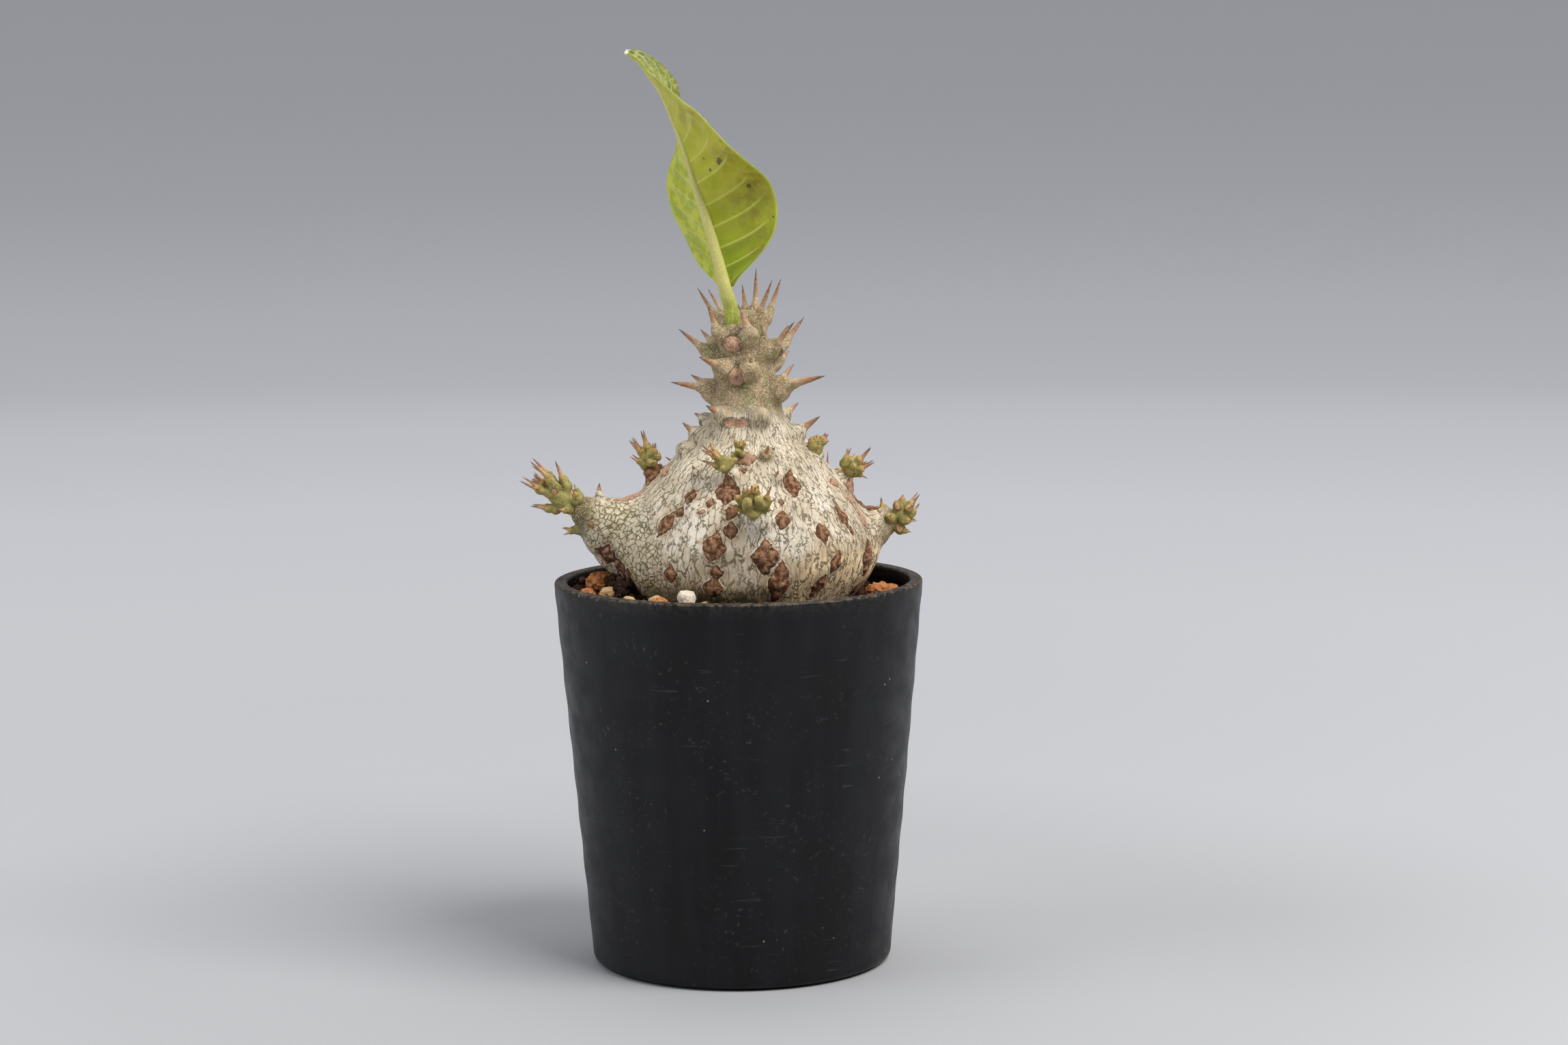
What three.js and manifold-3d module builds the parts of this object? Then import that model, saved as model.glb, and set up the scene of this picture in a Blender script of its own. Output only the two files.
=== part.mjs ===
// A young Pachypodium windsorii in a round black nursery pot. Millimetres, +Z up.
// Everything is laid out round the pot's axis, with its foot on z = 0. An azimuth is in degrees round
// that axis: 0 is the front (-Y), 90 is +X, and -90 is -X. A rise is in degrees above the horizontal.
import * as THREE from "three";
import { mergeVertices } from "three/addons/utils/BufferGeometryUtils.js";
import Module from "manifold-3d";

const wasm = await Module();
wasm.setup();

// Driving dimensions

const GAP = 0.3; // clearance between neighbouring pieces
const GOLDEN_ANGLE = 137.5; // degrees from one leaf or grain to the next

const POT = {
  sides: 40,
  height: 78.5,
  rimRadius: 37.5,
  rimEdgeHeight: 77.3,
  rimBevel: 1.1,
  lipBevel: 0.65,
  lipInnerRadius: 34.9,
  lipBottom: 76.4,
  lipUndercut: 1.2,
  footCorner: [0.7, 1.8], // the rounded corner at the ground, inwards and upwards
  wallFootRadius: 30.5, // where the wall's slope would meet the ground
  wallThickness: 1.4,
  groundRadius: 28.6,
  footInnerRadius: 26.8,
  floorUnderside: 3.6,
  floorTop: 5.2,
  floorCorner: 1.4, // slope between floor and wall, inside
  notches: 3,
  notchTurn: 1.5,
  firstNotch: 60,
  notchWidth: 10.6,
  notchDepth: 12,
  notchHeight: 2.8,
  drainHoles: 5,
  drainCircle: 17,
  drainRadius: 3.2,
};

const SOIL = {
  level: 73.6, // at the low side
  rise: 3, // how much higher the surface lies at its high side
  highSide: -60, // azimuth
  lumps: 0.5, // height of the surface's slow rise and fall
  granules: 48,
  granuleRadius: [1.4, 2.4],
  granulesFrom: 23.5, // nearest to the pot's axis
  seed: 11,
};

// Radius and height of the swollen trunk, from the cut end of the root to the growing tip.
const TRUNK = [
  [5.5, 46],
  [9.5, 51],
  [14.5, 60],
  [19.2, 68],
  [21.8, 74.5],
  [24.8, 79.5],
  [25.9, 84],
  [25.6, 88],
  [23.3, 93.5],
  [21.2, 96.4],
  [18.6, 99],
  [15.4, 102.8],
  [12.4, 105.4],
  [10.2, 107.7],
  [9, 110],
  [7.9, 113],
  [7.1, 118],
  [6.6, 122],
  [6, 127],
  [5.4, 130.4],
  [4, 132.6],
];
const TRUNK_TOP = 133.4;
const TRUNK_SIDES = 32;
const TRUNK_RINGS = [
  46, 54, 64, 72, 75.5, 79, 82, 85, 88.5, 92, 95, 98, 101, 103.5, 106, 108.5, 111.5, 115, 119, 123, 127,
  130.4, 132.6,
];
const TRUNK_DEPTH = 0.96; // front to back, as a share of left to right
const LEAN = { base: 0.8, more: 1.3, height: 111, spread: 15 }; // the trunk's middle lies this far to +X
const BARK_START = 75; // below this height the root is plain and stands in the soil

// The two thick side branches: points on the middle line with the radius there, root end first.
const LEFT_BRANCH = [
  [-8, 1, 83, 12],
  [-18, -1.5, 85.6, 9.6],
  [-25.4, -4, 89.4, 6.4],
  [-30.4, -6, 92.8, 3.8],
];
const RIGHT_BRANCH = [
  [8, 0, 82, 12],
  [18, 1, 84, 9.6],
  [24.4, 2.6, 86.8, 5.6],
  [29.4, 4.4, 89.4, 3.4],
];

// Shoots on the ends of the branches: name, the azimuth and rise that they point to, length, radius,
// number of spines and length of a spine.
const END_SHOOTS = [
  ["shoot_left", -104, 22, 9.4, 3.1, 10, 4.8],
  ["shoot_right", 76, 27, 6.6, 2.8, 9, 3.8],
].map(([name, azimuth, rise, length, radius, spines, spine]) => ({
  name, azimuth, rise, length, radius, spines, spine,
}));

// Small shoots that sprout straight from the trunk: name, the azimuth and height where they grow, and
// then as above.
const TRUNK_SHOOTS = [
  ["shoot_upper_left", [-100, 100], -98, 74, 5.4, 1.8, 7, 4.4],
  ["shoot_front_upper", [-9, 101.4], -46, 40, 4.4, 1.7, 7, 4.6],
  ["shoot_front", [6, 93.2], 2, 34, 6.2, 2.5, 9, 4.2],
  ["bud_front", [-4, 106], -4, 58, 2.2, 1.2, 4, 1.6],
  ["shoot_upper_right", [80, 104.6], 74, 44, 3.6, 1.5, 6, 2.8],
  ["shoot_right_high", [94, 98.6], 88, 32, 5, 1.8, 7, 4.6],
  ["shoot_back_left", [-146, 98], -150, 38, 5, 2, 7, 4.6],
  ["shoot_back_right", [136, 95], 131, 35, 5.4, 2.1, 7, 4.4],
  ["shoot_back", [176, 88], 180, 26, 5.8, 2.3, 7, 4.6],
].map(([name, at, azimuth, rise, length, radius, spines, spine]) => ({
  name, at, azimuth, rise, length, radius, spines, spine,
}));
const COLLAR_STANDS_OUT = 1.2; // how far the bark swells out to meet a small shoot

// Spines of the main stem in view. Each row: azimuth, height and distance from the stem's middle where
// the bare spine leaves its cushion; the cushion's radius; the spine's length; its rise; and its own
// azimuth where that differs.
const SEEN_SPINES = [
  [-90, 132.6, 5.5, 1.4, 6.2, 59],
  [-45, 129.4, 7, 1.9, 6.1, 65],
  [-132, 132.6, 4.9, 1.3, 6.2, 50],
  [15, 129, 6.9, 2.1, 6.1, 67, -90],
  [160, 133.2, 3, 1.4, 5.2, 83, -90],
  [118, 133.4, 3.4, 1.6, 8.2, 88],
  [45, 131.9, 4.9, 1.7, 8.9, 62],
  [100, 132.4, 5.8, 1.6, 7.6, 70],
  [97, 126.4, 8.6, 1.9, 6.7, 52],
  [57, 126, 7.6, 2.1, 7.2, 47],
  [122, 122.9, 8.8, 1.7, 2.7, 37],
  [-82, 125.3, 7.6, 2.1, 7, 39],
  [-123, 126.7, 7.4, 1.7, 3.7, 42],
  [-39, 122.4, 8, 2.3, 6.6, 20],
  [9, 122.2, 8, 2.2, 2.4, 60],
  [-82, 117.7, 8.2, 2.4, 7.2, 10],
  [-115, 118.1, 8.9, 1.9, 3.9, 28],
  [66, 118.2, 9, 2.6, 8.8, 14],
  [-38, 113, 9.2, 2.2, 4.6, 24],
  [19, 112.8, 9, 2.2, 1.4, 33],
  [-115, 111.1, 9.8, 1.8, 2.4, 24],
  [-78, 108.6, 10.8, 2.2, 3.4, 41],
  [-77, 105.8, 13, 2.1, 1.4, 35],
  [78, 108.7, 10.6, 2.4, 5.5, 35],
  [22, 105.3, 13.2, 1.9, 1.9, 40],
  [20, 101, 18, 1.1, 1.6, 60],
  [-35, 101.8, 17.6, 1.1, 1.9, 57],
];
// Behind, they go on round and down the stem by the golden angle, from one azimuth to the other.
const HIDDEN_SPINES = { count: 16, bottom: 105, top: 130, from: 128, to: 238, cushion: 2, reach: 7 };

// The one leaf: points on its midrib, from the foot of its stalk to its tip.
const MIDRIB = [
  [-1, -4.2, 134],
  [-1.8, -4.9, 136.6],
  [-2.4, -5.2, 139.2],
  [-4.6, -5, 148],
  [-7.3, -4, 156.8],
  [-9.8, -2.6, 165.5],
  [-12, -1, 171.3],
  [-14.3, 0.5, 176.7],
  [-16.6, 1.6, 180.1],
  [-19.2, 2.4, 183.5],
  [-21.8, 2.8, 185.3],
];
const BLADE_FROM = 0.075; // share of the midrib below the blade
const BLADE_WIDTH = [
  [1.5, 0],
  [7, 0.05],
  [11.4, 0.11],
  [14.3, 0.2],
  [15.3, 0.33],
  [15, 0.43],
  [13.8, 0.54],
  [12, 0.65],
  [9.6, 0.76],
  [6.4, 0.87],
  [3.2, 0.95],
  [0.5, 1],
]; // from midrib to edge, at shares of the blade's length
// The two halves of the blade turn about the midrib. Degrees from +X towards the back, at shares of
// the blade's length.
const RIGHT_HALF = [
  [-6, 0],
  [-8, 0.28],
  [-47, 0.43],
  [-72, 0.64],
  [-86, 0.8],
  [-88, 1],
];
const LEFT_HALF = [
  [118, 0],
  [111, 0.2],
  [115, 0.42],
  [109, 0.56],
  [82, 0.73],
  [54, 0.87],
  [50, 1],
];
const LEAF = {
  thickness: 0.9,
  stalkRadius: 1.5,
  tipRadius: 0.55,
  acrossSteps: 3,
  alongSteps: 14,
};

// Loose grains that lie on the soil: azimuth, distance from the axis, radius, squash, material.
const GRAINS = [
  { name: "clod_orange_left", azimuth: -82, distance: 28.6, radius: 2.7, height: 0.86, kind: "akadama" },
  { name: "pebble_tan_left", azimuth: -68, distance: 28.4, radius: 1.7, height: 0.8, kind: "kanuma" },
  { name: "clod_brown_left", azimuth: -72, distance: 32, radius: 1.7, height: 0.7, kind: "akadama" },
  { name: "pebble_left_front", azimuth: -50, distance: 28.6, radius: 1.5, height: 0.8, kind: "kanuma" },
  { name: "pebble_tan_front", azimuth: -36, distance: 27.6, radius: 1.7, height: 0.7, kind: "kanuma" },
  { name: "pebble_brown_front", azimuth: -30.5, distance: 31, radius: 1.8, height: 0.62, kind: "akadama" },
  { name: "pumice_white_front", azimuth: -21, distance: 28.6, radius: 2, height: 0.95, kind: "pumice" },
  { name: "clod_orange_right", azimuth: 78, distance: 29, radius: 2.6, height: 0.74, kind: "akadama" },
  { name: "clod_orange_right_back", azimuth: 96, distance: 31, radius: 2.1, height: 0.8, kind: "akadama" },
  { name: "clod_back", azimuth: 170, distance: 29, radius: 2.4, height: 0.8, kind: "akadama" },
  { name: "pumice_back", azimuth: -152, distance: 29.6, radius: 1.9, height: 0.8, kind: "pumice" },
];

// Small helpers

const radians = THREE.MathUtils.degToRad;

// A unit vector that points out along an azimuth, tipped up by a rise.
function heading(azimuth, rise = 0) {
  const a = radians(azimuth);
  const r = radians(rise);
  return new THREE.Vector3(Math.sin(a) * Math.cos(r), -Math.cos(a) * Math.cos(r), Math.sin(r));
}

// Numbers from 0 to 1 that come out the same on every run.
function seeded(seed) {
  let state = seed >>> 0;
  return () => {
    state = (state + 0x6d2b79f5) >>> 0;
    let t = Math.imul(state ^ (state >>> 15), state | 1);
    t ^= t + Math.imul(t ^ (t >>> 7), t | 61);
    return ((t ^ (t >>> 14)) >>> 0) / 4294967296;
  };
}

// The value at x on straight lines through points given as [value, x].
function between(points, x) {
  const next = points.findIndex((p) => p[1] >= x);
  if (next === -1) return points.at(-1)[0];
  if (next === 0) return points[0][0];
  const [v0, x0] = points[next - 1];
  const [v1, x1] = points[next];
  return v0 + ((v1 - v0) * (x - x0)) / (x1 - x0);
}

// A closed geometry as a solid that can be joined and cut. Its faces are turned out if they face in.
function solid(geometry) {
  const bare = new THREE.BufferGeometry();
  const loose = geometry.index ? geometry.toNonIndexed() : geometry;
  bare.setAttribute("position", loose.getAttribute("position"));
  const merged = mergeVertices(bare, 1e-4);
  const triVerts = new Uint32Array(merged.index.array);
  const vertProperties = merged.getAttribute("position").array;
  const made = new wasm.Manifold(new wasm.Mesh({ numProp: 3, vertProperties, triVerts }));
  if (made.volume() > 0) return made;
  for (let i = 0; i < triVerts.length; i += 3) {
    [triVerts[i + 1], triVerts[i + 2]] = [triVerts[i + 2], triVerts[i + 1]];
  }
  return new wasm.Manifold(new wasm.Mesh({ numProp: 3, vertProperties, triVerts }));
}

function geometryOf(made) {
  const { vertProperties, triVerts } = made.getMesh();
  const geometry = new THREE.BufferGeometry();
  geometry.setAttribute("position", new THREE.BufferAttribute(vertProperties, 3));
  geometry.setIndex(new THREE.BufferAttribute(triVerts, 1));
  geometry.computeVertexNormals();
  return geometry;
}

// A solid turned round the Z axis from a profile of [radius, height].
function turned(profile, sides) {
  const points = profile.map(([r, z]) => new THREE.Vector2(r, z));
  return new THREE.LatheGeometry(points, sides).rotateX(Math.PI / 2);
}

// Moves each vertex of a geometry by a function of its place.
function reshape(geometry, place) {
  const position = geometry.getAttribute("position");
  const v = new THREE.Vector3();
  for (let i = 0; i < position.count; i++) {
    place(v.fromBufferAttribute(position, i));
    position.setXYZ(i, v.x, v.y, v.z);
  }
  return geometry;
}

// A round body turned along +Z and then laid along a curve. The profile's heights run from 0 to 1.
function laidAlong(curve, profile, sides) {
  const chord = curve.getPoint(1).sub(curve.getPoint(0));
  const steep = Math.abs(chord.z) > 0.7 * chord.length();
  const helper = new THREE.Vector3(steep ? 1 : 0, 0, steep ? 0 : 1).cross(chord).normalize();
  const across = new THREE.Vector3();
  const side = new THREE.Vector3();
  return reshape(turned(profile, sides), (v) => {
    const t = THREE.MathUtils.clamp(v.z, 0, 1);
    const point = curve.getPoint(t);
    const ahead = curve.getTangent(t);
    across.crossVectors(ahead, helper).normalize();
    side.crossVectors(ahead, across);
    v.copy(point.addScaledVector(across, v.x).addScaledVector(side, v.y));
  });
}

// Pot

const wallRadius = (z) =>
  POT.wallFootRadius + ((POT.rimRadius - POT.wallFootRadius) * z) / POT.rimEdgeHeight;
const insideRadius = (z) => wallRadius(z) - POT.wallThickness;

function potSolid() {
  const [cornerIn, cornerUp] = POT.footCorner;
  const lipShoulder = POT.lipBottom - POT.lipUndercut;
  const floorEdge = POT.floorTop + POT.floorCorner;
  const shallow = 0.35; // how far the rim's and foot's edges are eased
  let pot = solid(
    turned(
      [
        [0, POT.floorUnderside],
        [POT.footInnerRadius - cornerIn, POT.floorUnderside],
        [POT.footInnerRadius, 0],
        [POT.groundRadius, 0],
        [wallRadius(shallow) - cornerIn, shallow],
        [wallRadius(cornerUp), cornerUp],
        [POT.rimRadius, POT.rimEdgeHeight],
        [POT.rimRadius - shallow, POT.height - shallow],
        [POT.rimRadius - POT.rimBevel, POT.height],
        [POT.lipInnerRadius + POT.lipBevel, POT.height],
        [POT.lipInnerRadius, POT.height - POT.lipBevel],
        [POT.lipInnerRadius, POT.lipBottom],
        [insideRadius(lipShoulder), lipShoulder],
        [insideRadius(floorEdge), floorEdge],
        [insideRadius(floorEdge) - POT.floorCorner, POT.floorTop],
        [0, POT.floorTop],
      ],
      POT.sides,
    ),
  );
  for (let i = 0; i < POT.notches; i++) {
    const azimuth = POT.firstNotch + POT.notchTurn + (360 / POT.notches) * i;
    const notch = new THREE.BoxGeometry(POT.notchWidth, POT.notchDepth, 2 * POT.notchHeight);
    notch.translate(0, -POT.groundRadius, 0).rotateZ(radians(azimuth));
    pot = pot.subtract(solid(notch));
  }
  const through = 2 * (POT.floorTop + 1);
  const drain = new THREE.CylinderGeometry(POT.drainRadius, POT.drainRadius, through, 16);
  drain.rotateX(Math.PI / 2);
  pot = pot.subtract(solid(drain));
  for (let i = 0; i < POT.drainHoles; i++) {
    const place = heading((360 / POT.drainHoles) * i).multiplyScalar(POT.drainCircle);
    pot = pot.subtract(solid(drain.clone().translate(place.x, place.y, 0)));
  }
  return pot;
}

const midrib = new THREE.CatmullRomCurve3(MIDRIB.map((p) => new THREE.Vector3(...p)));

// Trunk, with the spines that grow from it

const leanAt = (z) => LEAN.base + LEAN.more * Math.exp(-(((z - LEAN.height) / LEAN.spread) ** 2));
const barkShare = (z) => THREE.MathUtils.smoothstep(z, BARK_START, BARK_START + 8);

// Low lumps of the bark, as a share of the radius, at an azimuth in radians.
const lumps = (a, z) =>
  barkShare(z) *
  (0.018 * Math.sin(3 * a + 0.21 * z) + 0.014 * Math.sin(5 * a - 0.33 * z + 1) + 0.008 * Math.sin(11 * a));

// The trunk's outline as a smooth line.
const outline = new THREE.SplineCurve(TRUNK.map(([r, z]) => new THREE.Vector2(r, z)));
const outlinePoints = outline.getPoints(200).map((p) => [p.x, p.y]);
const trunkRadius = (z) => between(outlinePoints, z);

// A point at a distance from the trunk's middle line. The trunk is a little less deep than wide.
function aboutTrunk(azimuth, z, distance) {
  const out = heading(azimuth).multiplyScalar(distance);
  return new THREE.Vector3(leanAt(z) + out.x, out.y * TRUNK_DEPTH, z);
}

function trunkBody(off = 0) {
  const rings = TRUNK_RINGS.map((z) => [trunkRadius(z) + off, z]);
  const profile = [[0, TRUNK_RINGS[0]], ...rings, [0, TRUNK_TOP]];
  return solid(
    reshape(turned(profile, TRUNK_SIDES), (v) => {
      const grow = 1 + lumps(Math.atan2(v.x, -v.y), v.z);
      v.set(leanAt(v.z) + v.x * grow, v.y * grow * TRUNK_DEPTH, v.z);
    }),
  );
}

// A spine on its swollen cushion: sunk end, top of the cushion and point. "swell" lists the cushion's
// thickness, as a share of its radius, at shares of the way along.
function spine(sunk, cushionTop, point, cushion, swell, sides) {
  const curve = new THREE.CatmullRomCurve3([sunk, cushionTop, point]);
  const thick = Math.min(0.75, cushion * 0.36);
  const flesh = swell.map(([share, t]) => [cushion * share, t]);
  return solid(laidAlong(curve, [[0, 0], ...flesh, [thick, 0.54], [0, 1]], sides));
}

function stemSpine([azimuth, z, distance, cushion, reach, rise, aim = azimuth]) {
  const low = z - 1.8;
  const sunk = aboutTrunk(azimuth, low, Math.max(trunkRadius(low) - cushion, 0));
  const top = aboutTrunk(azimuth, z, distance);
  const point = top.clone().addScaledVector(heading(aim, rise), reach);
  return spine(sunk, top, point, cushion, [[1, 0], [1, 0.24], [0.66, 0.43]], 5);
}

function hiddenSpines() {
  const { count, bottom, top, from, to, cushion, reach } = HIDDEN_SPINES;
  const spines = [];
  for (let i = 0; i < count; i++) {
    const share = i / (count - 1);
    const azimuth = from + ((i * GOLDEN_ANGLE) % (to - from));
    const z = bottom + (top - bottom) * share;
    const length = reach * (0.4 + 0.6 * share) * (i % 2 ? 0.6 : 1);
    spines.push([azimuth, z, trunkRadius(z) + 1.8, cushion, length, 22 + 36 * share]);
  }
  return spines;
}

// Side branches and shoots

function branch(points) {
  const curve = new THREE.CatmullRomCurve3(points.map(([x, y, z]) => new THREE.Vector3(x, y, z)));
  const steps = 6;
  const last = points.length - 1;
  const radii = points.map(([, , , radius], i) => [radius, i / last]);
  const profile = [[0, 0]];
  for (let i = 0; i <= steps; i++) {
    profile.push([between(radii, i / steps), i / steps]);
  }
  profile.push([0, 1]);
  return solid(laidAlong(curve, profile, 16));
}

// Where each shoot starts: the middle of the flat end that the bark holds out to it.
function shootRoot(shoot) {
  if (shoot.at) {
    const [azimuth, z] = shoot.at;
    return aboutTrunk(azimuth, z, trunkRadius(z) + COLLAR_STANDS_OUT);
  }
  const points = shoot.name === "shoot_left" ? LEFT_BRANCH : RIGHT_BRANCH;
  return new THREE.Vector3(...points.at(-1).slice(0, 3));
}

// A straight round body between two points, with flat ends.
function post(from, to, radii, sides) {
  const last = radii.length - 1;
  const profile = [[0, 0], ...radii.map((r, i) => [r, i / last]), [0, 1]];
  return solid(laidAlong(new THREE.LineCurve3(from, to), profile, sides));
}

// The swollen bark under a shoot or leaf stalk, with its flat end square to it.
function collar(end, ahead, radius) {
  const from = end.clone().addScaledVector(ahead, -2.4 * radius);
  return post(from, end, [radius * 1.7, radius * 1.5, radius * 1.15], 12);
}

// A green shoot: a stubby stem ringed with cushions, each with its spine, by the golden angle.
function shootSolid(shoot) {
  const { radius, spines, length } = shoot;
  const ahead = heading(shoot.azimuth, shoot.rise);
  const root = shootRoot(shoot).addScaledVector(ahead, GAP);
  const tip = root.clone().addScaledVector(ahead, length);
  let made = post(root, tip, [radius * 0.95, radius * 1.05, radius * 0.5], 7);
  const side = new THREE.Vector3().crossVectors(ahead, new THREE.Vector3(0, 0, 1)).normalize();
  const cushion = radius * 0.44;
  for (let i = 0; i < spines; i++) {
    const share = (i + 0.5) / spines;
    const out = side.clone().applyAxisAngle(ahead, radians(GOLDEN_ANGLE * i));
    const level = root.clone().addScaledVector(ahead, length * (0.26 + 0.66 * share));
    const sunk = level.clone().addScaledVector(out, radius * 0.35);
    const top = level.clone().addScaledVector(out, radius * (1.25 - 0.6 * share * share));
    top.addScaledVector(ahead, 0.3 * radius);
    const aim = out.clone().addScaledVector(ahead, 0.3 + 1.1 * share).normalize(); // upper ones stand up
    const reach = Math.max(shoot.spine * (0.66 + 0.34 * Math.sin(7 * i + 1)), 1);
    const point = top.clone().addScaledVector(aim, reach);
    made = made.add(spine(sunk, top, point, cushion, [[1, 0], [0.95, 0.3]], 4));
  }
  return made;
}

function caudexSolid() {
  let made = trunkBody();
  made = made.add(branch(LEFT_BRANCH)).add(branch(RIGHT_BRANCH));
  for (const shoot of END_SHOOTS) {
    // The branch is cut square to the shoot that goes on from it.
    const ahead = heading(shoot.azimuth, shoot.rise);
    const end = shootRoot(shoot);
    made = made.subtract(post(end, end.clone().addScaledVector(ahead, 8), [9, 9], 12));
  }
  for (const shoot of TRUNK_SHOOTS) {
    made = made.add(collar(shootRoot(shoot), heading(shoot.azimuth, shoot.rise), shoot.radius));
  }
  for (const values of [...SEEN_SPINES, ...hiddenSpines()]) {
    made = made.add(stemSpine(values));
  }
  const stalk = midrib.getTangent(0);
  const end = midrib.getPoint(0).addScaledVector(stalk, -GAP);
  return made.add(collar(end, stalk, LEAF.stalkRadius));
}

// Leaf

// A closed sheet between two faces, each a function of u across and t along. Both faces are split
// into triangles alike.
function sheet(face, back, acrossSteps, alongSteps) {
  const columns = acrossSteps + 1;
  const layer = columns * (alongSteps + 1);
  const positions = [];
  for (const side of [face, back]) {
    for (let j = 0; j <= alongSteps; j++) {
      for (let i = 0; i <= acrossSteps; i++) {
        positions.push(...side((2 * i) / acrossSteps - 1, j / alongSteps).toArray());
      }
    }
  }
  const index = [];
  const quad = (a, b, c, d) => index.push(a, b, c, a, c, d);
  for (let j = 0; j < alongSteps; j++) {
    for (let i = 0; i < acrossSteps; i++) {
      const a = j * columns + i;
      quad(a, a + 1, a + columns + 1, a + columns);
      index.push(a + layer, a + layer + columns + 1, a + layer + 1);
      index.push(a + layer, a + layer + columns, a + layer + columns + 1);
    }
    const left = j * columns;
    const right = left + acrossSteps;
    quad(left, left + columns, left + columns + layer, left + layer);
    quad(right, right + layer, right + columns + layer, right + columns);
  }
  for (let i = 0; i < acrossSteps; i++) {
    const top = alongSteps * columns + i;
    quad(i, i + layer, i + 1 + layer, i + 1);
    quad(top, top + 1, top + 1 + layer, top + layer);
  }
  const geometry = new THREE.BufferGeometry();
  geometry.setAttribute("position", new THREE.Float32BufferAttribute(positions, 3));
  geometry.setIndex(index);
  return geometry;
}

// A point on the blade: u runs from -1 at the left edge to 1 at the right edge, t from stalk to tip.
// The two faces lie half a thickness either side of the half's own plane.
function bladePoint(u, t, off) {
  const along = BLADE_FROM + (1 - BLADE_FROM) * t;
  const point = midrib.getPointAt(along);
  const ahead = midrib.getTangentAt(along);
  const right = new THREE.Vector3().crossVectors(new THREE.Vector3(0, 1, 0), ahead).normalize();
  const behind = new THREE.Vector3().crossVectors(ahead, right).normalize();
  const width = Math.abs(u) * between(BLADE_WIDTH, t);
  const rightAngle = radians(between(RIGHT_HALF, t));
  const leftAngle = radians(between(LEFT_HALF, t));
  const angle = u > 0 ? rightAngle : leftAngle;
  const faceAngle = u === 0 ? (rightAngle + leftAngle) / 2 : angle + (Math.PI / 2) * Math.sign(u);
  const turnedBy = (by, reach) =>
    point.addScaledVector(right, Math.cos(by) * reach).addScaledVector(behind, Math.sin(by) * reach);
  turnedBy(angle, width);
  return turnedBy(faceAngle, off);
}

function leafSolid() {
  const half = LEAF.thickness / 2;
  const blade = solid(
    sheet(
      (u, t) => bladePoint(u, t, -half),
      (u, t) => bladePoint(u, t, half),
      2 * LEAF.acrossSteps,
      LEAF.alongSteps,
    ),
  );
  const rings = 8;
  const profile = [[0, 0]];
  for (let i = 0; i <= rings; i++) {
    const t = i / rings;
    profile.push([LEAF.stalkRadius + (LEAF.tipRadius - LEAF.stalkRadius) * Math.sqrt(t), 0.98 * t]);
  }
  profile.push([0, 0.98]);
  return blade.add(solid(laidAlong(midrib, profile, 7)));
}

// Soil and the grains on it

// A rough, rounded grain about its own centre.
function grain(radius, height, detail, seed) {
  const random = seeded(seed);
  const waves = [0, 1, 2].map(() => new THREE.Vector3(random() - 0.5, random() - 0.5, random() - 0.5));
  return reshape(new THREE.IcosahedronGeometry(radius, detail), (v) => {
    const rough = waves.reduce((sum, wave, i) => sum + 0.09 * Math.sin((5 * wave.dot(v)) / radius + i), 1);
    v.multiplyScalar(rough);
    v.z *= height;
  });
}

function soilTop(a, r) {
  const tilt = (r / POT.lipInnerRadius) * Math.cos(a - radians(SOIL.highSide));
  const lumps = Math.sin(4 * a + 0.3 * r) + 0.6 * Math.sin(7 * a - 0.5 * r);
  return SOIL.level + (SOIL.rise * (1 + tilt)) / 2 + SOIL.lumps * lumps;
}

// True where a granule would reach into the hole for the trunk or the dent of a loose grain.
function inTheWay(place, radius) {
  const middle = new THREE.Vector3(leanAt(SOIL.level), 0, 0);
  const trunk = trunkRadius(SOIL.level + SOIL.rise + 1);
  if (place.distanceTo(middle) < trunk + radius + 0.5) return true;
  return GRAINS.some((g) => {
    const centre = heading(g.azimuth).multiplyScalar(g.distance);
    return place.distanceTo(centre) < g.radius * 1.2 + radius + 0.2;
  });
}

function soilSolid(caudexHole, grainHoles) {
  const outer = (z) => insideRadius(z) - GAP;
  const floorEdge = POT.floorTop + POT.floorCorner;
  const rim = outer(SOIL.level);
  const lip = POT.lipInnerRadius - 2 * GAP; // the granules stay inside the pot's lip
  const profile = [
    [0, POT.floorTop],
    [outer(floorEdge) - POT.floorCorner, POT.floorTop],
    [outer(floorEdge), floorEdge],
    ...[1, 0.965, 0.88, 0.76, 0.64].map((share) => [rim * share, SOIL.level]),
    [0, SOIL.level],
  ];
  let soil = solid(
    reshape(turned(profile, POT.sides), (v) => {
      const r = Math.hypot(v.x, v.y);
      if (v.z < SOIL.level - 1e-3 || r > rim - 0.5) return;
      v.z = soilTop(Math.atan2(v.x, -v.y), r);
    }),
  );
  soil = soil.subtract(caudexHole);
  for (const hole of grainHoles) {
    soil = soil.subtract(hole);
  }
  const random = seeded(SOIL.seed);
  const [small, large] = SOIL.granuleRadius;
  for (let i = 0; i < SOIL.granules; i++) {
    const radius = small + (large - small) * random();
    const r = SOIL.granulesFrom + (lip - radius - SOIL.granulesFrom) * Math.sqrt(random());
    const azimuth = i * GOLDEN_ANGLE;
    const place = heading(azimuth).multiplyScalar(r);
    const spin = random() * 6;
    if (inTheWay(place, radius)) continue;
    const lump = grain(radius, 0.8, 0, SOIL.seed + i).rotateZ(spin);
    const half = 0.12 * radius; // a little more than half of it shows
    lump.translate(place.x, place.y, soilTop(radians(azimuth), r) + half);
    soil = soil.add(solid(lump));
  }
  return soil;
}

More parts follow.
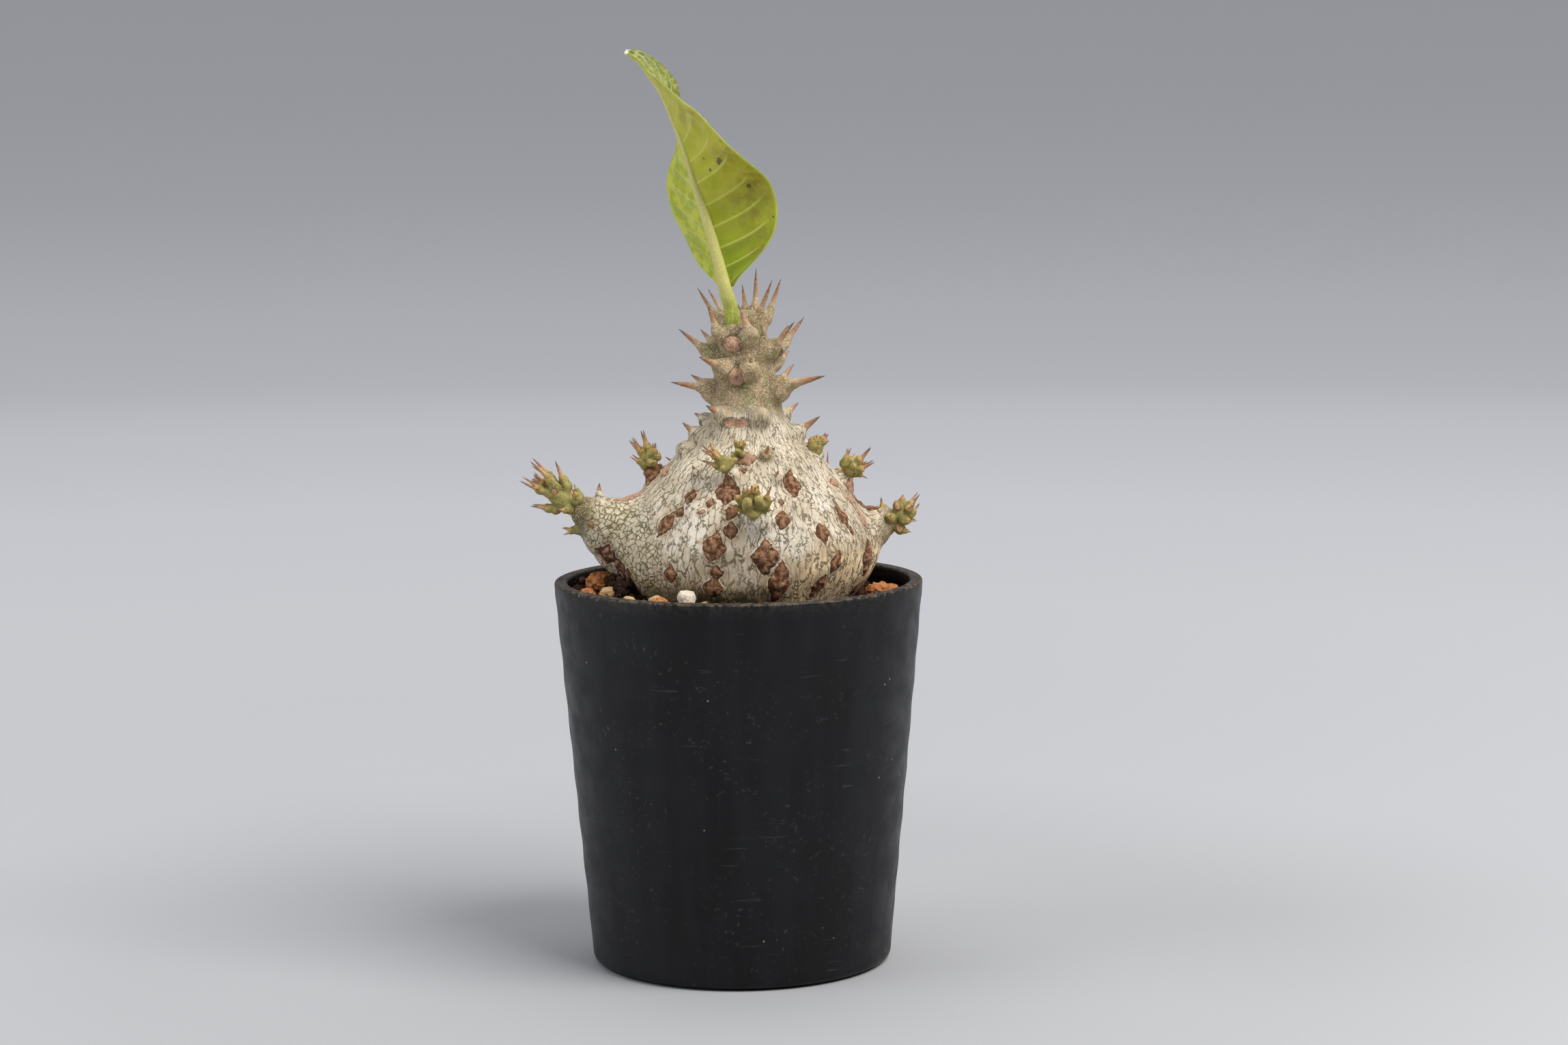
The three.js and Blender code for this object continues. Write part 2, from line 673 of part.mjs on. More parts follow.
// Each grain lies in a dent of its own shape, a little larger than itself.
function placedGrain({ azimuth, distance, radius, height }, i, extra = 0) {
  const lump = grain(radius, height, 1, 100 + i);
  const size = (radius + extra) / radius;
  lump.scale(size, size, (radius * height + extra) / (radius * height));
  const place = heading(azimuth).multiplyScalar(distance);
  const level = soilTop(radians(azimuth), distance);
  return lump.translate(place.x, place.y, level + radius * height * 0.78);
}

// Materials

const plain = (color, roughness) => new THREE.MeshStandardMaterial({ color, roughness, metalness: 0 });
const MATERIALS = {
  pot: plain(0x202224, 0.5),
  soil: plain(0x5a3a28, 0.95),
  bark: plain(0xb4aa92, 0.75),
  shoot: plain(0x6f7f46, 0.65),
  leaf: plain(0x93b03c, 0.45),
  akadama: plain(0xa5673a, 0.95),
  kanuma: plain(0xb99a68, 0.95),
  pumice: plain(0xd9d2c8, 0.9),
};

// The part

function node(name, geometry, material) {
  const mesh = new THREE.Mesh(geometry, MATERIALS[material]);
  mesh.name = name;
  return mesh;
}

const plant = new THREE.Group();
const holder = new THREE.Group();
const shoots = [...END_SHOOTS, ...TRUNK_SHOOTS];

plant.add(node("caudex", geometryOf(caudexSolid()), "bark"));
for (const shoot of shoots) {
  plant.add(node(shoot.name, geometryOf(shootSolid(shoot)), "shoot"));
}
plant.add(node("leaf", geometryOf(leafSolid()), "leaf"));

const grainHoles = GRAINS.map((g, i) => solid(placedGrain(g, i, GAP)));
holder.add(node("pot", geometryOf(potSolid()), "pot"));
holder.add(node("soil", geometryOf(soilSolid(trunkBody(GAP), grainHoles)), "soil"));
GRAINS.forEach((g, i) => {
  holder.add(node(g.name, geometryOf(solid(placedGrain(g, i))), g.kind));
});

// The origin is the middle of the whole part's footprint, on the surface that it stands on.
const part = new THREE.Group();
part.add(holder, plant);
const box = new THREE.Box3().setFromObject(part);
part.position.set(-(box.min.x + box.max.x) / 2, -(box.min.y + box.max.y) / 2, 0);

export default part;
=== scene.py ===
"""A young Pachypodium windsorii in a round black nursery pot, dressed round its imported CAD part.

Places are in millimetres from the pot's axis, with the foot on z = 0, -Y towards the camera and +X to
its right. An azimuth is in degrees round that axis: 0 is the front and 90 is +X. A rise is in degrees
above the horizontal.
"""
import itertools
import math

import bpy
import numpy as np
from mathutils import Matrix, Vector


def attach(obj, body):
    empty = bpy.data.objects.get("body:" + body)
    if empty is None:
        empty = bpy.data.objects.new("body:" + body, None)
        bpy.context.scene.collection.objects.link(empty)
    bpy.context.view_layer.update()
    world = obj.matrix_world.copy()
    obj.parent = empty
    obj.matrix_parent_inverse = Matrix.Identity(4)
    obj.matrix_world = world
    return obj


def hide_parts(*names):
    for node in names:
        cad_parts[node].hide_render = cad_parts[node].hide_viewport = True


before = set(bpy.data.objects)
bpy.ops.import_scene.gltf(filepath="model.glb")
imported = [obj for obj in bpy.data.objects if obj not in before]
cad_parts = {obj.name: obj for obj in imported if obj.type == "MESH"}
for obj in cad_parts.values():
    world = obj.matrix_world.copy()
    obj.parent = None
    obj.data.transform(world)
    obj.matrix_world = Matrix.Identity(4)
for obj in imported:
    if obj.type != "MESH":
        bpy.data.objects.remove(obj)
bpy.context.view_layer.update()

AXIS_X = 3.343  # the pot's axis in the part's frame
MM = 0.001

# Camera

IMAGE = (2297, 1531)
FOCAL_PIXELS = 5004
SENSOR = 36
CAMERA_PLACE = (0, -690.8, 172.8)
CAMERA_PITCH = 6.841  # degrees down
CAMERA_YAW = 0.778
CAMERA_ROLL = -0.497

# Trunk and branches, with the values of the CAD part

TRUNK = [  # radius and height
    [5.5, 46], [9.5, 51], [14.5, 60], [19.2, 68], [21.8, 74.5], [24.8, 79.5], [25.9, 84], [25.6, 88],
    [23.3, 93.5], [21.2, 96.4], [18.6, 99], [15.4, 102.8], [12.4, 105.4], [10.2, 107.7], [9, 110],
    [7.9, 113], [7.1, 118], [6.6, 122], [6, 127], [5.4, 130.4], [4, 132.6],
]
TRUNK_TOP = 133.4
TRUNK_DEPTH = 0.96  # its depth from front to back against its width
SHOWN_FROM = 71  # the finely made trunk starts here, under the soil's surface
# Branches: place and radius
LEFT_BRANCH = [[-8, 1, 83, 12], [-18, -1.5, 85.6, 9.6], [-25.4, -4, 89.4, 6.4], [-30.4, -6, 93, 3.3]]
RIGHT_BRANCH = [[8, 0, 82, 12], [18, 1, 84, 9.6], [24.4, 2.6, 86.8, 5.6], [29.4, 4.4, 89.4, 3.4]]

# Shoots that sprout from the trunk: azimuth and height there, the way they point, length and radius.
SPROUTS = {
    "shoot_upper_left": [-100, 100, -98, 74, 5.4, 1.8],
    "shoot_front_upper": [-9, 101.4, -46, 40, 4.4, 1.7],
    "shoot_front": [6, 93.2, 2, 34, 6.2, 2.5],
    "bud_front": [-4, 106, -4, 58, 2.2, 1.2],
    "shoot_upper_right": [80, 104.6, 74, 44, 3.6, 1.5],
    "shoot_right_high": [94, 98.6, 88, 32, 5, 1.8],
    "shoot_back_left": [-146, 98, -150, 38, 5, 2],
    "shoot_back_right": [136, 95, 131, 35, 5.4, 2.1],
    "shoot_back": [176, 88, 180, 26, 5.8, 2.3],
}

# Spines of the main stem: azimuth, height and distance from its middle where the bare spine leaves
# its cushion; the cushion's radius; the spine's length; its rise; its own azimuth if it differs.
STEM_SPINES = [
    [-90, 132.6, 5.5, 1.4, 6.2, 59], [-45, 129.4, 7, 1.9, 6.1, 65], [-132, 132.6, 4.9, 1.3, 6.2, 50],
    [15, 129, 6.9, 2.1, 6.1, 67, -90], [160, 133.2, 3, 1.4, 5.2, 83, -90], [118, 133.4, 3.4, 1.6, 8.2, 88],
    [45, 131.9, 4.9, 1.7, 8.9, 62], [100, 132.4, 5.8, 1.6, 7.6, 70], [97, 126.4, 8.6, 1.9, 6.7, 52],
    [57, 126, 7.6, 2.1, 7.2, 47], [122, 122.9, 8.8, 1.7, 2.7, 37], [-82, 125.3, 7.6, 2.1, 7, 39],
    [-123, 126.7, 7.4, 1.7, 3.7, 42], [-39, 122.4, 8, 2.3, 6.6, 20], [9, 122.2, 8, 2.2, 2.4, 60],
    [-82, 117.7, 8.2, 2.4, 7.2, 10], [-115, 118.1, 8.9, 1.9, 3.9, 28], [66, 118.2, 9, 2.6, 8.8, 14],
    [-38, 113, 9.2, 2.2, 4.6, 24], [19, 112.8, 9, 2.2, 1.4, 33], [-115, 111.1, 9.8, 1.8, 2.4, 24],
    [-78, 108.6, 10.8, 2.2, 3.4, 41], [-77, 105.8, 13, 2.1, 1.4, 35], [78, 108.7, 10.6, 2.4, 5.5, 35],
    [22, 105.3, 13.2, 1.9, 1.9, 40], [20, 101, 18, 1.1, 1.6, 60], [-35, 101.8, 17.6, 1.1, 1.9, 57],
]
HIDDEN_SPINES = {"count": 16, "bottom": 105, "top": 130, "from": 128, "to": 238, "cushion": 2, "reach": 7}
GOLDEN_ANGLE = 137.5

NUBS = [  # foot, top and spine's tip, and radius at the foot
    [[-27.6, -5, 94.6], [-28, -5, 97], [-27.8, -5, 99], 1.6],
    [[5.3, -10.6, 104.2], [5.7, -13.2, 105.2], [6.3, -14.4, 107.2], 1.8],
]

# Corky patches in the bark: place, width, height, turn in degrees, and depth of colour from 0, pale
# pink, to 1, dark maroon.
PATCHES = [
    [-2, -18.3, 98.3, 4.6, 5.6, 0, 0.6], [-9.4, -16.4, 97.4, 2.6, 3.4, 0, 0.5],
    [-5.4, -19.4, 96.3, 1.6, 2.3, 0, 0.5], [-11.8, -17.8, 94.5, 2, 2.2, 20, 0.45],
    [-14.7, -17.2, 92.1, 3.2, 5.4, 25, 0.45], [-4.8, -23.9, 88.1, 4.4, 5.4, 14, 0.5],
    [-1.4, -23.2, 91.1, 2.9, 3.2, 0, 0.55], [-1.1, -21.5, 94.6, 2.6, 3.3, 20, 0.35],
    [5.3, -24.3, 86, 5, 6.2, 2, 0.65], [8, -23.1, 80.7, 4, 8.4, 8, 0.6],
    [10.8, -15.2, 99.3, 3.6, 5.6, 14, 0.35], [8.7, -21.4, 92.9, 3.2, 3.4, 20, 0.35],
    [8.5, -19.3, 96.1, 1.2, 1.6, 0, 0.3], [16.4, -18.7, 89.8, 2.6, 4.4, 0, 0.5],
    [21.1, -12.4, 92.3, 2.8, 4.8, -4, 0.4], [22.6, -12.1, 89.4, 1.2, 2.1, 0, 0.45],
    [18.8, -17.9, 84.2, 2.7, 4.6, 20, 0.5], [15.8, -18.9, 79.3, 2.6, 5, 20, 0.55],
    [-13.2, -20.5, 82.5, 2.8, 3.6, 0, 0.45], [-4.3, -24.1, 82.8, 2.4, 2.8, 0, 0.5],
    [-5.1, -23.2, 79.7, 3.8, 3.8, 0, 0.5], [1.9, -13.3, 104.1, 3.9, 2.6, -15, 0.1],
    [0.8, -15.6, 101.8, 1.7, 1.9, 0, 0.3], [-7.1, -20.1, 94.6, 1.3, 1.1, 0, 0.1],
    [25.9, -6.7, 83.4, 4.2, 6.8, 12, 0.45], [23.3, -6.2, 76.9, 2.4, 3.6, 0, 0.5],
    [25.2, -4.3, 91, 3, 4.4, -20, 0.05], [22.4, -6, 95.3, 1.3, 4.4, 0, 0.05],
    [-26.2, -8.7, 85.2, 4, 4.4, -30, 0.95], [-23.4, -9.8, 82.5, 3, 4.4, -20, 1],
    [-21.5, -11.7, 81.3, 2.4, 2.6, 0, 0.9], [-21.6, -3.8, 95.5, 2.8, 7, 0, 0.1],
    [-29.6, -9.6, 91.2, 1.2, 2, 0, 0.5], [-15.2, -3.4, 101.2, 3.2, 2.8, 10, 0.1],
    [19.6, -5.6, 98.6, 3.2, 2, 0, 0.02],
]
PATCH_GROWTH = 1.18
COLLAR = 1.25  # the torn bark round a shoot's foot reaches this many of its radii
TORN_AT_FOOT = ("shoot_upper_left", "shoot_back_left", "shoot_back_right", "shoot_back")
HIDDEN_PATCHES = {"count": 30, "from": 92, "to": 268, "bottom": 77.5, "top": 101, "seed": 5}

# Leaf scars on the stem: place, width, height. The first few sit on low mounds.
SEATED_SCARS = 2
SMOOTH_SCARS_FROM = 125  # scars above this height have no pit
SCARS = [
    [-0.9, -6.5, 126.7, 4, 3.2], [0, -7.6, 120.1, 3.4, 3.4], [0, -8, 111.2, 5, 2],
    [6.3, -3, 130.2, 2.3, 2.6], [8.6, -1, 123.7, 2, 3.2], [10.4, -1, 115.1, 2, 3], [13.1, 0, 107.3, 2, 3],
    [-8.6, 2, 122, 2.6, 2.6], [-2, 7.6, 124, 3, 2.8], [3, 8.4, 117, 3, 2.8], [-5, 8, 112, 3.4, 2.6],
    [7, 6.2, 110.5, 3, 2.6],
]

# Shoots measured in the photo. stem: place and radius. knobs: place and radius, then place and radius of
# the outer end. spines: place, then tip and radius. scars: place, half the width and half the height.
SHOOTS = {
    "shoot_left": {
        "stem": [
            [-29.6, -6.3, 92.5, 2.76], [-31.8, -5.8, 93.7, 2.62], [-34, -5.2, 94.9, 2.55],
            [-36.2, -4.7, 96.3, 2.48], [-37.9, -4.3, 97.4, 1.79],
        ],
        "knobs": [
            [-36.8, -6, 98.2, 1.24, -37.7, -6.2, 99.6, 0.76],
            [-34.5, -5.2, 98.3, 1.24, -35, -5, 99.6, 0.69],
            [-37.9, -5.6, 97.1, 1.24, -39.8, -5.8, 97.7, 0.76],
            [-36.8, -5, 93.7, 1.17, -38.3, -5, 93.8, 0.76],
            [-33.8, -7.6, 94, 1.1, -34.5, -8.4, 93.9, 0.69],
            [-32.2, -8, 95.9, 1.17, -32.6, -8.8, 97, 0.62],
            [-31.6, -6, 89.8, 1.5, -33.3, -6, 89.5, 0.85],
            [-38.7, -4.5, 98.5, 0.97, -39.2, -4.5, 98.9, 0.62],
        ],
        "spines": [
            [-38.1, -6.2, 100.3, -41.6, -6.6, 103.6, 0.65], [-39.1, -5.4, 101.1, -41.6, -4.6, 102.6, 0.4],
            [-35.3, -5, 100, -36.6, -4.6, 103.3, 0.62], [-40.1, -5.8, 97.8, -43.9, -6.4, 99.7, 0.6],
            [-40.5, -6.6, 98.3, -41.5, -7.4, 99.4, 0.55], [-38.8, -5, 94, -41.9, -5, 94.4, 0.55],
            [-34.9, -8.6, 93.8, -36.5, -10.2, 94.3, 0.45], [-32.6, -8.9, 97.1, -33.2, -9.8, 98.3, 0.42],
            [-34, -6, 89.6, -35.6, -6, 90, 0.3], [-33.9, -6.2, 89.1, -35.3, -6.6, 88.6, 0.3],
            [-39.3, -4.6, 99.1, -41.2, -4.8, 100.9, 0.55], [-39.4, -5, 98.8, -41.5, -5.4, 100, 0.45],
            [-39.6, -4.4, 98.5, -41.7, -4, 99.5, 0.4],
        ],
        "scars": [
            [-31.9, -8.4, 94.1, 0.76, 0.83], [-36.9, -7, 97.5, 0.55, 0.55],
        ],
    },
    "shoot_upper_left": {
        "stem": [
            [-16.9, 3, 100.4, 1.38], [-17.7, 2.9, 102.1, 1.66], [-18.1, 2.8, 103.5, 1.38],
        ],
        "knobs": [
            [-18.8, 2.4, 103.4, 1.1, -19.5, 2.2, 104.3, 0.69],
            [-17.9, 2.6, 104.1, 1.1, -18.3, 2.4, 105.4, 0.62],
            [-16.8, 2.6, 103.5, 0.83, -16.8, 2.6, 104.4, 0.5],
            [-18.9, 2.2, 101.6, 0.97, -19.9, 1.8, 102.4, 0.55],
            [-16.1, 2, 103.2, 0.62, -15.9, 1.8, 103.5, 0.41],
            [-17.8, 0.9, 102.3, 0.83, -17.6, 0.4, 102.5, 0.55],
            [-17, 1, 102.2, 0.69, -16.7, 0.6, 102.5, 0.48],
        ],
        "spines": [
            [-19.7, 2.2, 104.6, -21.5, 1.6, 107.4, 0.42], [-20, 2.4, 104.4, -22.1, 3, 106.8, 0.4],
            [-18.6, 2.4, 105.7, -19.6, 1.8, 108.7, 0.45], [-18.3, 2.5, 105.8, -19.1, 3, 108.8, 0.48],
            [-17, 2.4, 104.7, -17.1, 2, 106.1, 0.3], [-16.6, 2.8, 104.6, -16.6, 3.4, 106.2, 0.3],
            [-19.3, 1.6, 104.8, -19.8, 1, 105.5, 0.25], [-20.2, 1.8, 102.5, -21.9, 1, 103.7, 0.34],
            [-15.9, 1.8, 103.5, -15.6, 1.4, 104.2, 0.25],
        ],
    },
    "shoot_front_upper": {
        "stem": [
            [-1.9, -16.6, 102.3, 1.66], [-2.6, -18.2, 103.7, 1.66], [-3.7, -19.4, 104.9, 1.17],
        ],
        "knobs": [
            [-3, -18.8, 104.4, 1.24, -4.4, -20, 105.8, 0.69],
            [-2.7, -19.4, 103.1, 0.76, -2.9, -19.9, 103.2, 0.62],
            [-3.7, -18.8, 103.4, 0.83, -4.5, -19.4, 103.8, 0.5],
            [-1.6, -18.2, 104.2, 0.97, -1.5, -18.8, 104.8, 0.55],
            [-0.8, -17.2, 104.3, 0.76, -0.4, -17.6, 104.7, 0.5],
        ],
        "spines": [
            [-4.3, -20, 105.8, -7, -21.6, 107.9, 0.5], [-4.6, -20.2, 105.6, -7.1, -22, 107.1, 0.42],
            [-4.6, -19.4, 103.8, -7.3, -20.6, 104.9, 0.36], [-4.9, -18, 107, -5.4, -18, 108.2, 0.3],
            [-3.8, -20.3, 105.4, -5.4, -22, 107, 0.4], [-4.2, -19.4, 106.3, -5.1, -20, 107.2, 0.35],
        ],
    },
    "shoot_front": {
        "stem": [
            [3.1, -22.8, 94.5, 2.3], [3.1, -25, 95.6, 1.9], [3.1, -26.4, 96.8, 1.2],
        ],
        "knobs": [
            [2, -26.8, 96.4, 1.3, 1.9, -28.2, 97.3, 1.15], [4.2, -26.8, 96.8, 1.25, 4.1, -28.2, 97.8, 1],
            [0.8, -25.2, 97.3, 1.03, 0, -25.8, 97.9, 0.69],
            [5.4, -25.4, 96.7, 1.17, 5.8, -26, 97.7, 0.69],
            [3.1, -25.8, 94.9, 1.3, 3.1, -26.8, 94.9, 1.1],
            [1.7, -25.4, 98.6, 0.97, 1.4, -25.8, 99.3, 0.55], [3.4, -26, 98.9, 1.1, 3.4, -27, 99.9, 0.69],
            [5, -24.4, 95.2, 0.9, 5.8, -25, 95.6, 0.55], [1.1, -24.2, 95.4, 0.9, 0.2, -24.8, 95.7, 0.55],
        ],
        "spines": [
            [-0.1, -26, 98, -1.3, -27.4, 99.3, 0.35], [5.7, -26.2, 98.1, 6.7, -27.2, 100.6, 0.45],
            [6.3, -25.6, 97, 7.3, -26.6, 97.6, 0.3], [1.4, -26, 99.4, 1, -26.6, 100.2, 0.3],
            [3, -27.4, 99.9, 2.6, -28.4, 100.7, 0.4], [3.8, -27.4, 99.9, 4.1, -28.6, 100.7, 0.4],
            [3.4, -28.4, 99.6, 3.4, -30, 100.6, 0.45], [-0.2, -25, 96, -1.4, -26.2, 96.7, 0.3],
            [2.2, -27.4, 99.1, 1.8, -28.6, 100.2, 0.3], [6.2, -25.2, 95.4, 7, -26.4, 95.4, 0.25],
        ],
    },
    "bud_front": {
        "stem": [
            [0.4, -12.2, 105.2, 1.2], [0.5, -13.4, 106.6, 1.15],
        ],
        "knobs": [
            [0, -14, 107.2, 0.66, -0.3, -14.4, 107.9, 0.4],
            [1.1, -14, 107.1, 0.66, 1.3, -14.3, 107.7, 0.4],
            [0.2, -14.4, 106, 0.6, 0, -15, 106.2, 0.45], [1, -14.2, 105.4, 0.66, 1.2, -14.9, 105.5, 0.5],
            [-0.5, -13.8, 105.2, 0.6, -0.9, -14.4, 105.2, 0.45],
        ],
        "spines": [
            [-0.3, -14.5, 107.9, -0.5, -14.9, 108.5, 0.22], [1.3, -14.5, 107.7, 1.4, -15, 108.3, 0.22],
            [0.5, -14.7, 107.2, 0.5, -15.5, 108.2, 0.25],
        ],
    },
    "shoot_upper_right": {
        "stem": [
            [15.3, -2.4, 103.7, 1.24], [15.8, -2.5, 105, 1.38], [16.5, -2.7, 106.2, 1.1],
        ],
        "knobs": [
            [15.3, -3, 105.7, 1.31, 15.1, -3.2, 106.7, 0.83],
            [16.2, -3.4, 104.9, 1.1, 16.6, -3.8, 105.6, 0.69],
            [16.7, -2.8, 106.6, 0.9, 17.1, -3, 107.2, 0.62],
            [15.9, -3, 106.9, 0.83, 16, -3.2, 107.4, 0.48],
            [17, -3.2, 106.3, 0.83, 17.7, -3.6, 106.7, 0.55],
        ],
        "spines": [
            [17.3, -3, 107.4, 18, -3.4, 108.4, 0.35], [17.6, -3.2, 107.2, 18.5, -3.6, 108.2, 0.32],
            [17.7, -2.6, 106.9, 18.3, -2, 107.3, 0.28], [17.8, -3.6, 106.6, 18.6, -4.2, 106.9, 0.32],
            [15.8, -3.3, 107.4, 16.3, -4, 108.1, 0.3], [14.9, -3.4, 106.9, 14.8, -4, 107.6, 0.25],
        ],
    },
    "shoot_right_high": {
        "stem": [
            [22.2, 1.4, 99.3, 1.66], [22.9, 1.2, 100.3, 1.66], [23.7, 1, 101, 1.38],
        ],
        "knobs": [
            [21.8, 0.6, 101.8, 1.1, 22.1, 0.4, 102.9, 0.58], [24, 0.4, 101.7, 1.03, 24.8, 0, 102.5, 0.62],
            [23.4, -0.5, 101.2, 0.83, 23.7, -0.9, 101.4, 0.62],
            [24.3, 0.2, 100.6, 0.97, 25.2, -0.2, 100.7, 0.5],
            [24, 0.8, 99.7, 0.83, 25.1, 0.6, 99.4, 0.41], [22.7, 0, 100.2, 0.9, 22.9, -0.4, 100.4, 0.62],
            [23.1, 1.6, 102.1, 0.83, 23.4, 1.8, 102.6, 0.5],
        ],
        "spines": [
            [22.2, 0.4, 103.2, 23, 0, 104.9, 0.36], [22.1, 0.8, 103.2, 22.4, 1.6, 104.9, 0.3],
            [25, 0, 102.5, 27.2, -0.8, 105.1, 0.48], [25.2, -0.2, 100.7, 28, -1.2, 102.3, 0.46],
            [24.7, 0.4, 101.5, 26.6, -0.6, 102, 0.4], [25.2, 0.6, 99.4, 26.5, 0.2, 98.7, 0.32],
            [24.7, 1, 101.7, 26.1, 1.6, 101.7, 0.35], [23.5, 1.8, 102.8, 23.9, 2.4, 103.7, 0.25],
        ],
    },
    "shoot_right": {
        "stem": [
            [29.5, 4.5, 88.4, 2.76], [31.5, 4, 89.5, 2.69], [33.4, 3.5, 90.9, 2.34],
            [34.5, 3.1, 91.9, 1.66],
        ],
        "knobs": [
            [29, 2.6, 90.6, 1.31, 28.6, 2.2, 91.3, 0.9], [30.1, 3.8, 91.4, 1.1, 29.8, 3.8, 92.3, 0.76],
            [31.1, 1.6, 90.4, 1.17, 30.8, 0.8, 90.8, 0.83], [32.7, 2.4, 92.5, 1.03, 32.5, 2, 93.1, 0.76],
            [33.6, 3.2, 93, 1.03, 33.6, 3.2, 93.7, 0.62], [34.8, 2.6, 92.2, 1.17, 35.2, 2.4, 92.9, 0.83],
            [33.9, 1.8, 89.8, 1.1, 34.7, 1.4, 89.8, 0.62], [33.2, 2.6, 88, 1.24, 33.6, 2.2, 87.8, 0.9],
            [35.3, 3, 91, 0.97, 35.9, 3, 91.3, 0.62],
        ],
        "spines": [
            [29.4, 3.8, 92.5, 29.2, 3.6, 94.5, 0.3], [29.2, 3, 92.2, 29.1, 2.6, 93.5, 0.28],
            [30.9, 0.6, 90.5, 31.3, -0.4, 91.6, 0.3], [33.6, 3.2, 94, 33.7, 3.2, 95, 0.5],
            [35.3, 2.6, 93.5, 36.9, 3.4, 95.5, 0.34], [35.8, 2.8, 93.2, 37.2, 2.2, 95.2, 0.34],
            [36.2, 3, 91.7, 37.3, 3.4, 93.2, 0.32], [34.6, 1.4, 92.3, 36, 0.2, 93.2, 0.4],
            [34.8, 1.4, 89.7, 35.5, 0.8, 90.2, 0.38], [35.1, 1.8, 89.8, 36.7, 2.4, 89.7, 0.32],
            [34.5, 2.4, 87.5, 35.4, 2, 87.5, 0.3], [35.5, 2.2, 92.8, 36.5, 1.6, 94.1, 0.34],
        ],
        "scars": [
            [32.5, 1.4, 92.9, 0.48, 0.55], [33, 1.2, 88, 0.62, 0.55], [28.6, 1.6, 91, 0.55, 0.62],
        ],
    },
}

# Leaf, with the values of the CAD part

MIDRIB = [
    [-1, -4.2, 134], [-1.8, -4.9, 136.6], [-2.4, -5.2, 139.2], [-4.6, -5, 148], [-7.3, -4, 156.8],
    [-9.8, -2.6, 165.5], [-12, -1, 171.3], [-14.3, 0.5, 176.7], [-16.6, 1.6, 180.1], [-19.2, 2.4, 183.5],
    [-21.8, 2.8, 185.1],
]
STALK_FOOT = [[-0.4, -2.6, 128.4], [-0.6, -3.7, 130], [-0.8, -4.2, 131.8]]  # sunk in the stem's top
STALK_COLLAR = [[-0.5, -2.8, 128], [-0.8, -4.1, 129.9]]
STALK_RADIUS, RIB_TIP_RADIUS = 1.46, 0.45
BLADE_FROM = 0.075  # the blade starts at this share of the midrib
BLADE_WIDTH = [  # half the blade's width, and the share of its length where it has it
    [0.6, 0], [5.2, 0.05], [10.6, 0.11], [14.3, 0.2], [15.3, 0.33], [15, 0.43], [13.8, 0.54], [12, 0.65],
    [9.6, 0.76], [6.4, 0.87], [3.2, 0.95], [0.5, 1],
]
# The way each half of the blade faces, in degrees from the right towards the back, at shares of its length
RIGHT_HALF = [[-6, 0], [-8, 0.28], [-47, 0.43], [-72, 0.64], [-86, 0.8], [-88, 1]]
LEFT_HALF = [[118, 0], [111, 0.2], [115, 0.42], [109, 0.56], [82, 0.73], [54, 0.87], [50, 1]]
VEINS = 12
LEAF_SPOTS = [  # dark spots on the underside: across, up and radius
    [-3, 163.4, 1.1], [2.9, 158.3, 1], [7.6, 152.2, 0.5], [-2.2, 153.9, 0.35], [-4.8, 161.7, 0.55],
    [-6.1, 163.9, 0.45],
]
LEAF_STAINS = [  # brown stains there
    [-8.7, 172, 2], [-1.5, 165.3, 3], [4, 159.2, 4], [3.4, 154.3, 4.4], [4.9, 149.7, 3], [4.5, 145.6, 2],
]

# Loose grains: azimuth, distance, radius, squash, material slot.
GRAINS = {
    "clod_orange_left": [-82, 28.6, 2.7, 0.86, "fired_clay"],
    "pebble_tan_left": [-68, 28.4, 1.7, 0.8, "tan_pumice"],
    "clod_brown_left": [-72, 32, 1.7, 0.7, "fired_clay"],
    "pebble_left_front": [-50, 28.6, 1.5, 0.8, "tan_pumice"],
    "pebble_tan_front": [-36, 27.6, 1.7, 0.7, "tan_pumice"],
    "pebble_brown_front": [-30.5, 31, 1.8, 0.62, "fired_clay"],
    "pumice_white_front": [-21, 28.6, 2, 0.95, "white_pumice"],
    "clod_orange_right": [78, 29, 2.6, 0.74, "fired_clay"],
    "clod_orange_right_back": [96, 31, 2.1, 0.8, "fired_clay"],
    "clod_back": [170, 29, 2.4, 0.8, "fired_clay"],
    "pumice_back": [-152, 29.6, 1.9, 0.8, "white_pumice"],
}
SOIL_LEVEL = 73.6  # at its low side
SOIL_CLEAR = 0.3  # the gap round the soil, to the pot and to the trunk
GRANULES_FROM = 19  # the small granules lie at least this far from the axis
STRAWS = 90  # dry scraps on the soil
SOIL_RISE = 3
SOIL_HIGH_SIDE = -60  # azimuth
SOIL_LUMPS = 0.5
PEAT_HEAP = {"count": 380, "azimuths": (-94, -60), "reach": 6.5, "height": 9}  # against the trunk's foot

# Backdrop: how brightly the paper glows at each share of its reach, outwards and upwards
PAPER_REACH = 4000.0
PAPER_GLOW = [
    (0, 0), (0.03, 0), (0.05, 0.07), (0.082, 0.11), (0.131, 0.19), (0.207, 0.28), (0.3, 0.315),
    (0.337, 0.309), (0.446, 0.241), (0.51, 0.168), (0.556, 0.139), (0.6, 0.128), (1, 0.1),
]


# Small helpers


def heading(azimuth, rise=0):
    """The unit vector at an azimuth and a rise."""
    a, r = math.radians(azimuth), math.radians(rise)
    return np.array([math.sin(a) * math.cos(r), -math.cos(a) * math.cos(r), math.sin(r)])


def around_axis(points):
    """Each point's turn round the pot's axis, and its distance from it."""
    return np.arctan2(points[:, 0], -points[:, 1]), np.hypot(points[:, 0], points[:, 1])


def unit(v):
    return v / np.maximum(np.linalg.norm(v, axis=-1, keepdims=True), 1e-9)


def smooth(x, low, high):
    """Runs smoothly from 0 to 1 while x goes from low to high."""
    t = np.clip((x - low) / (high - low), 0, 1)
    return t * t * (3 - 2 * t)


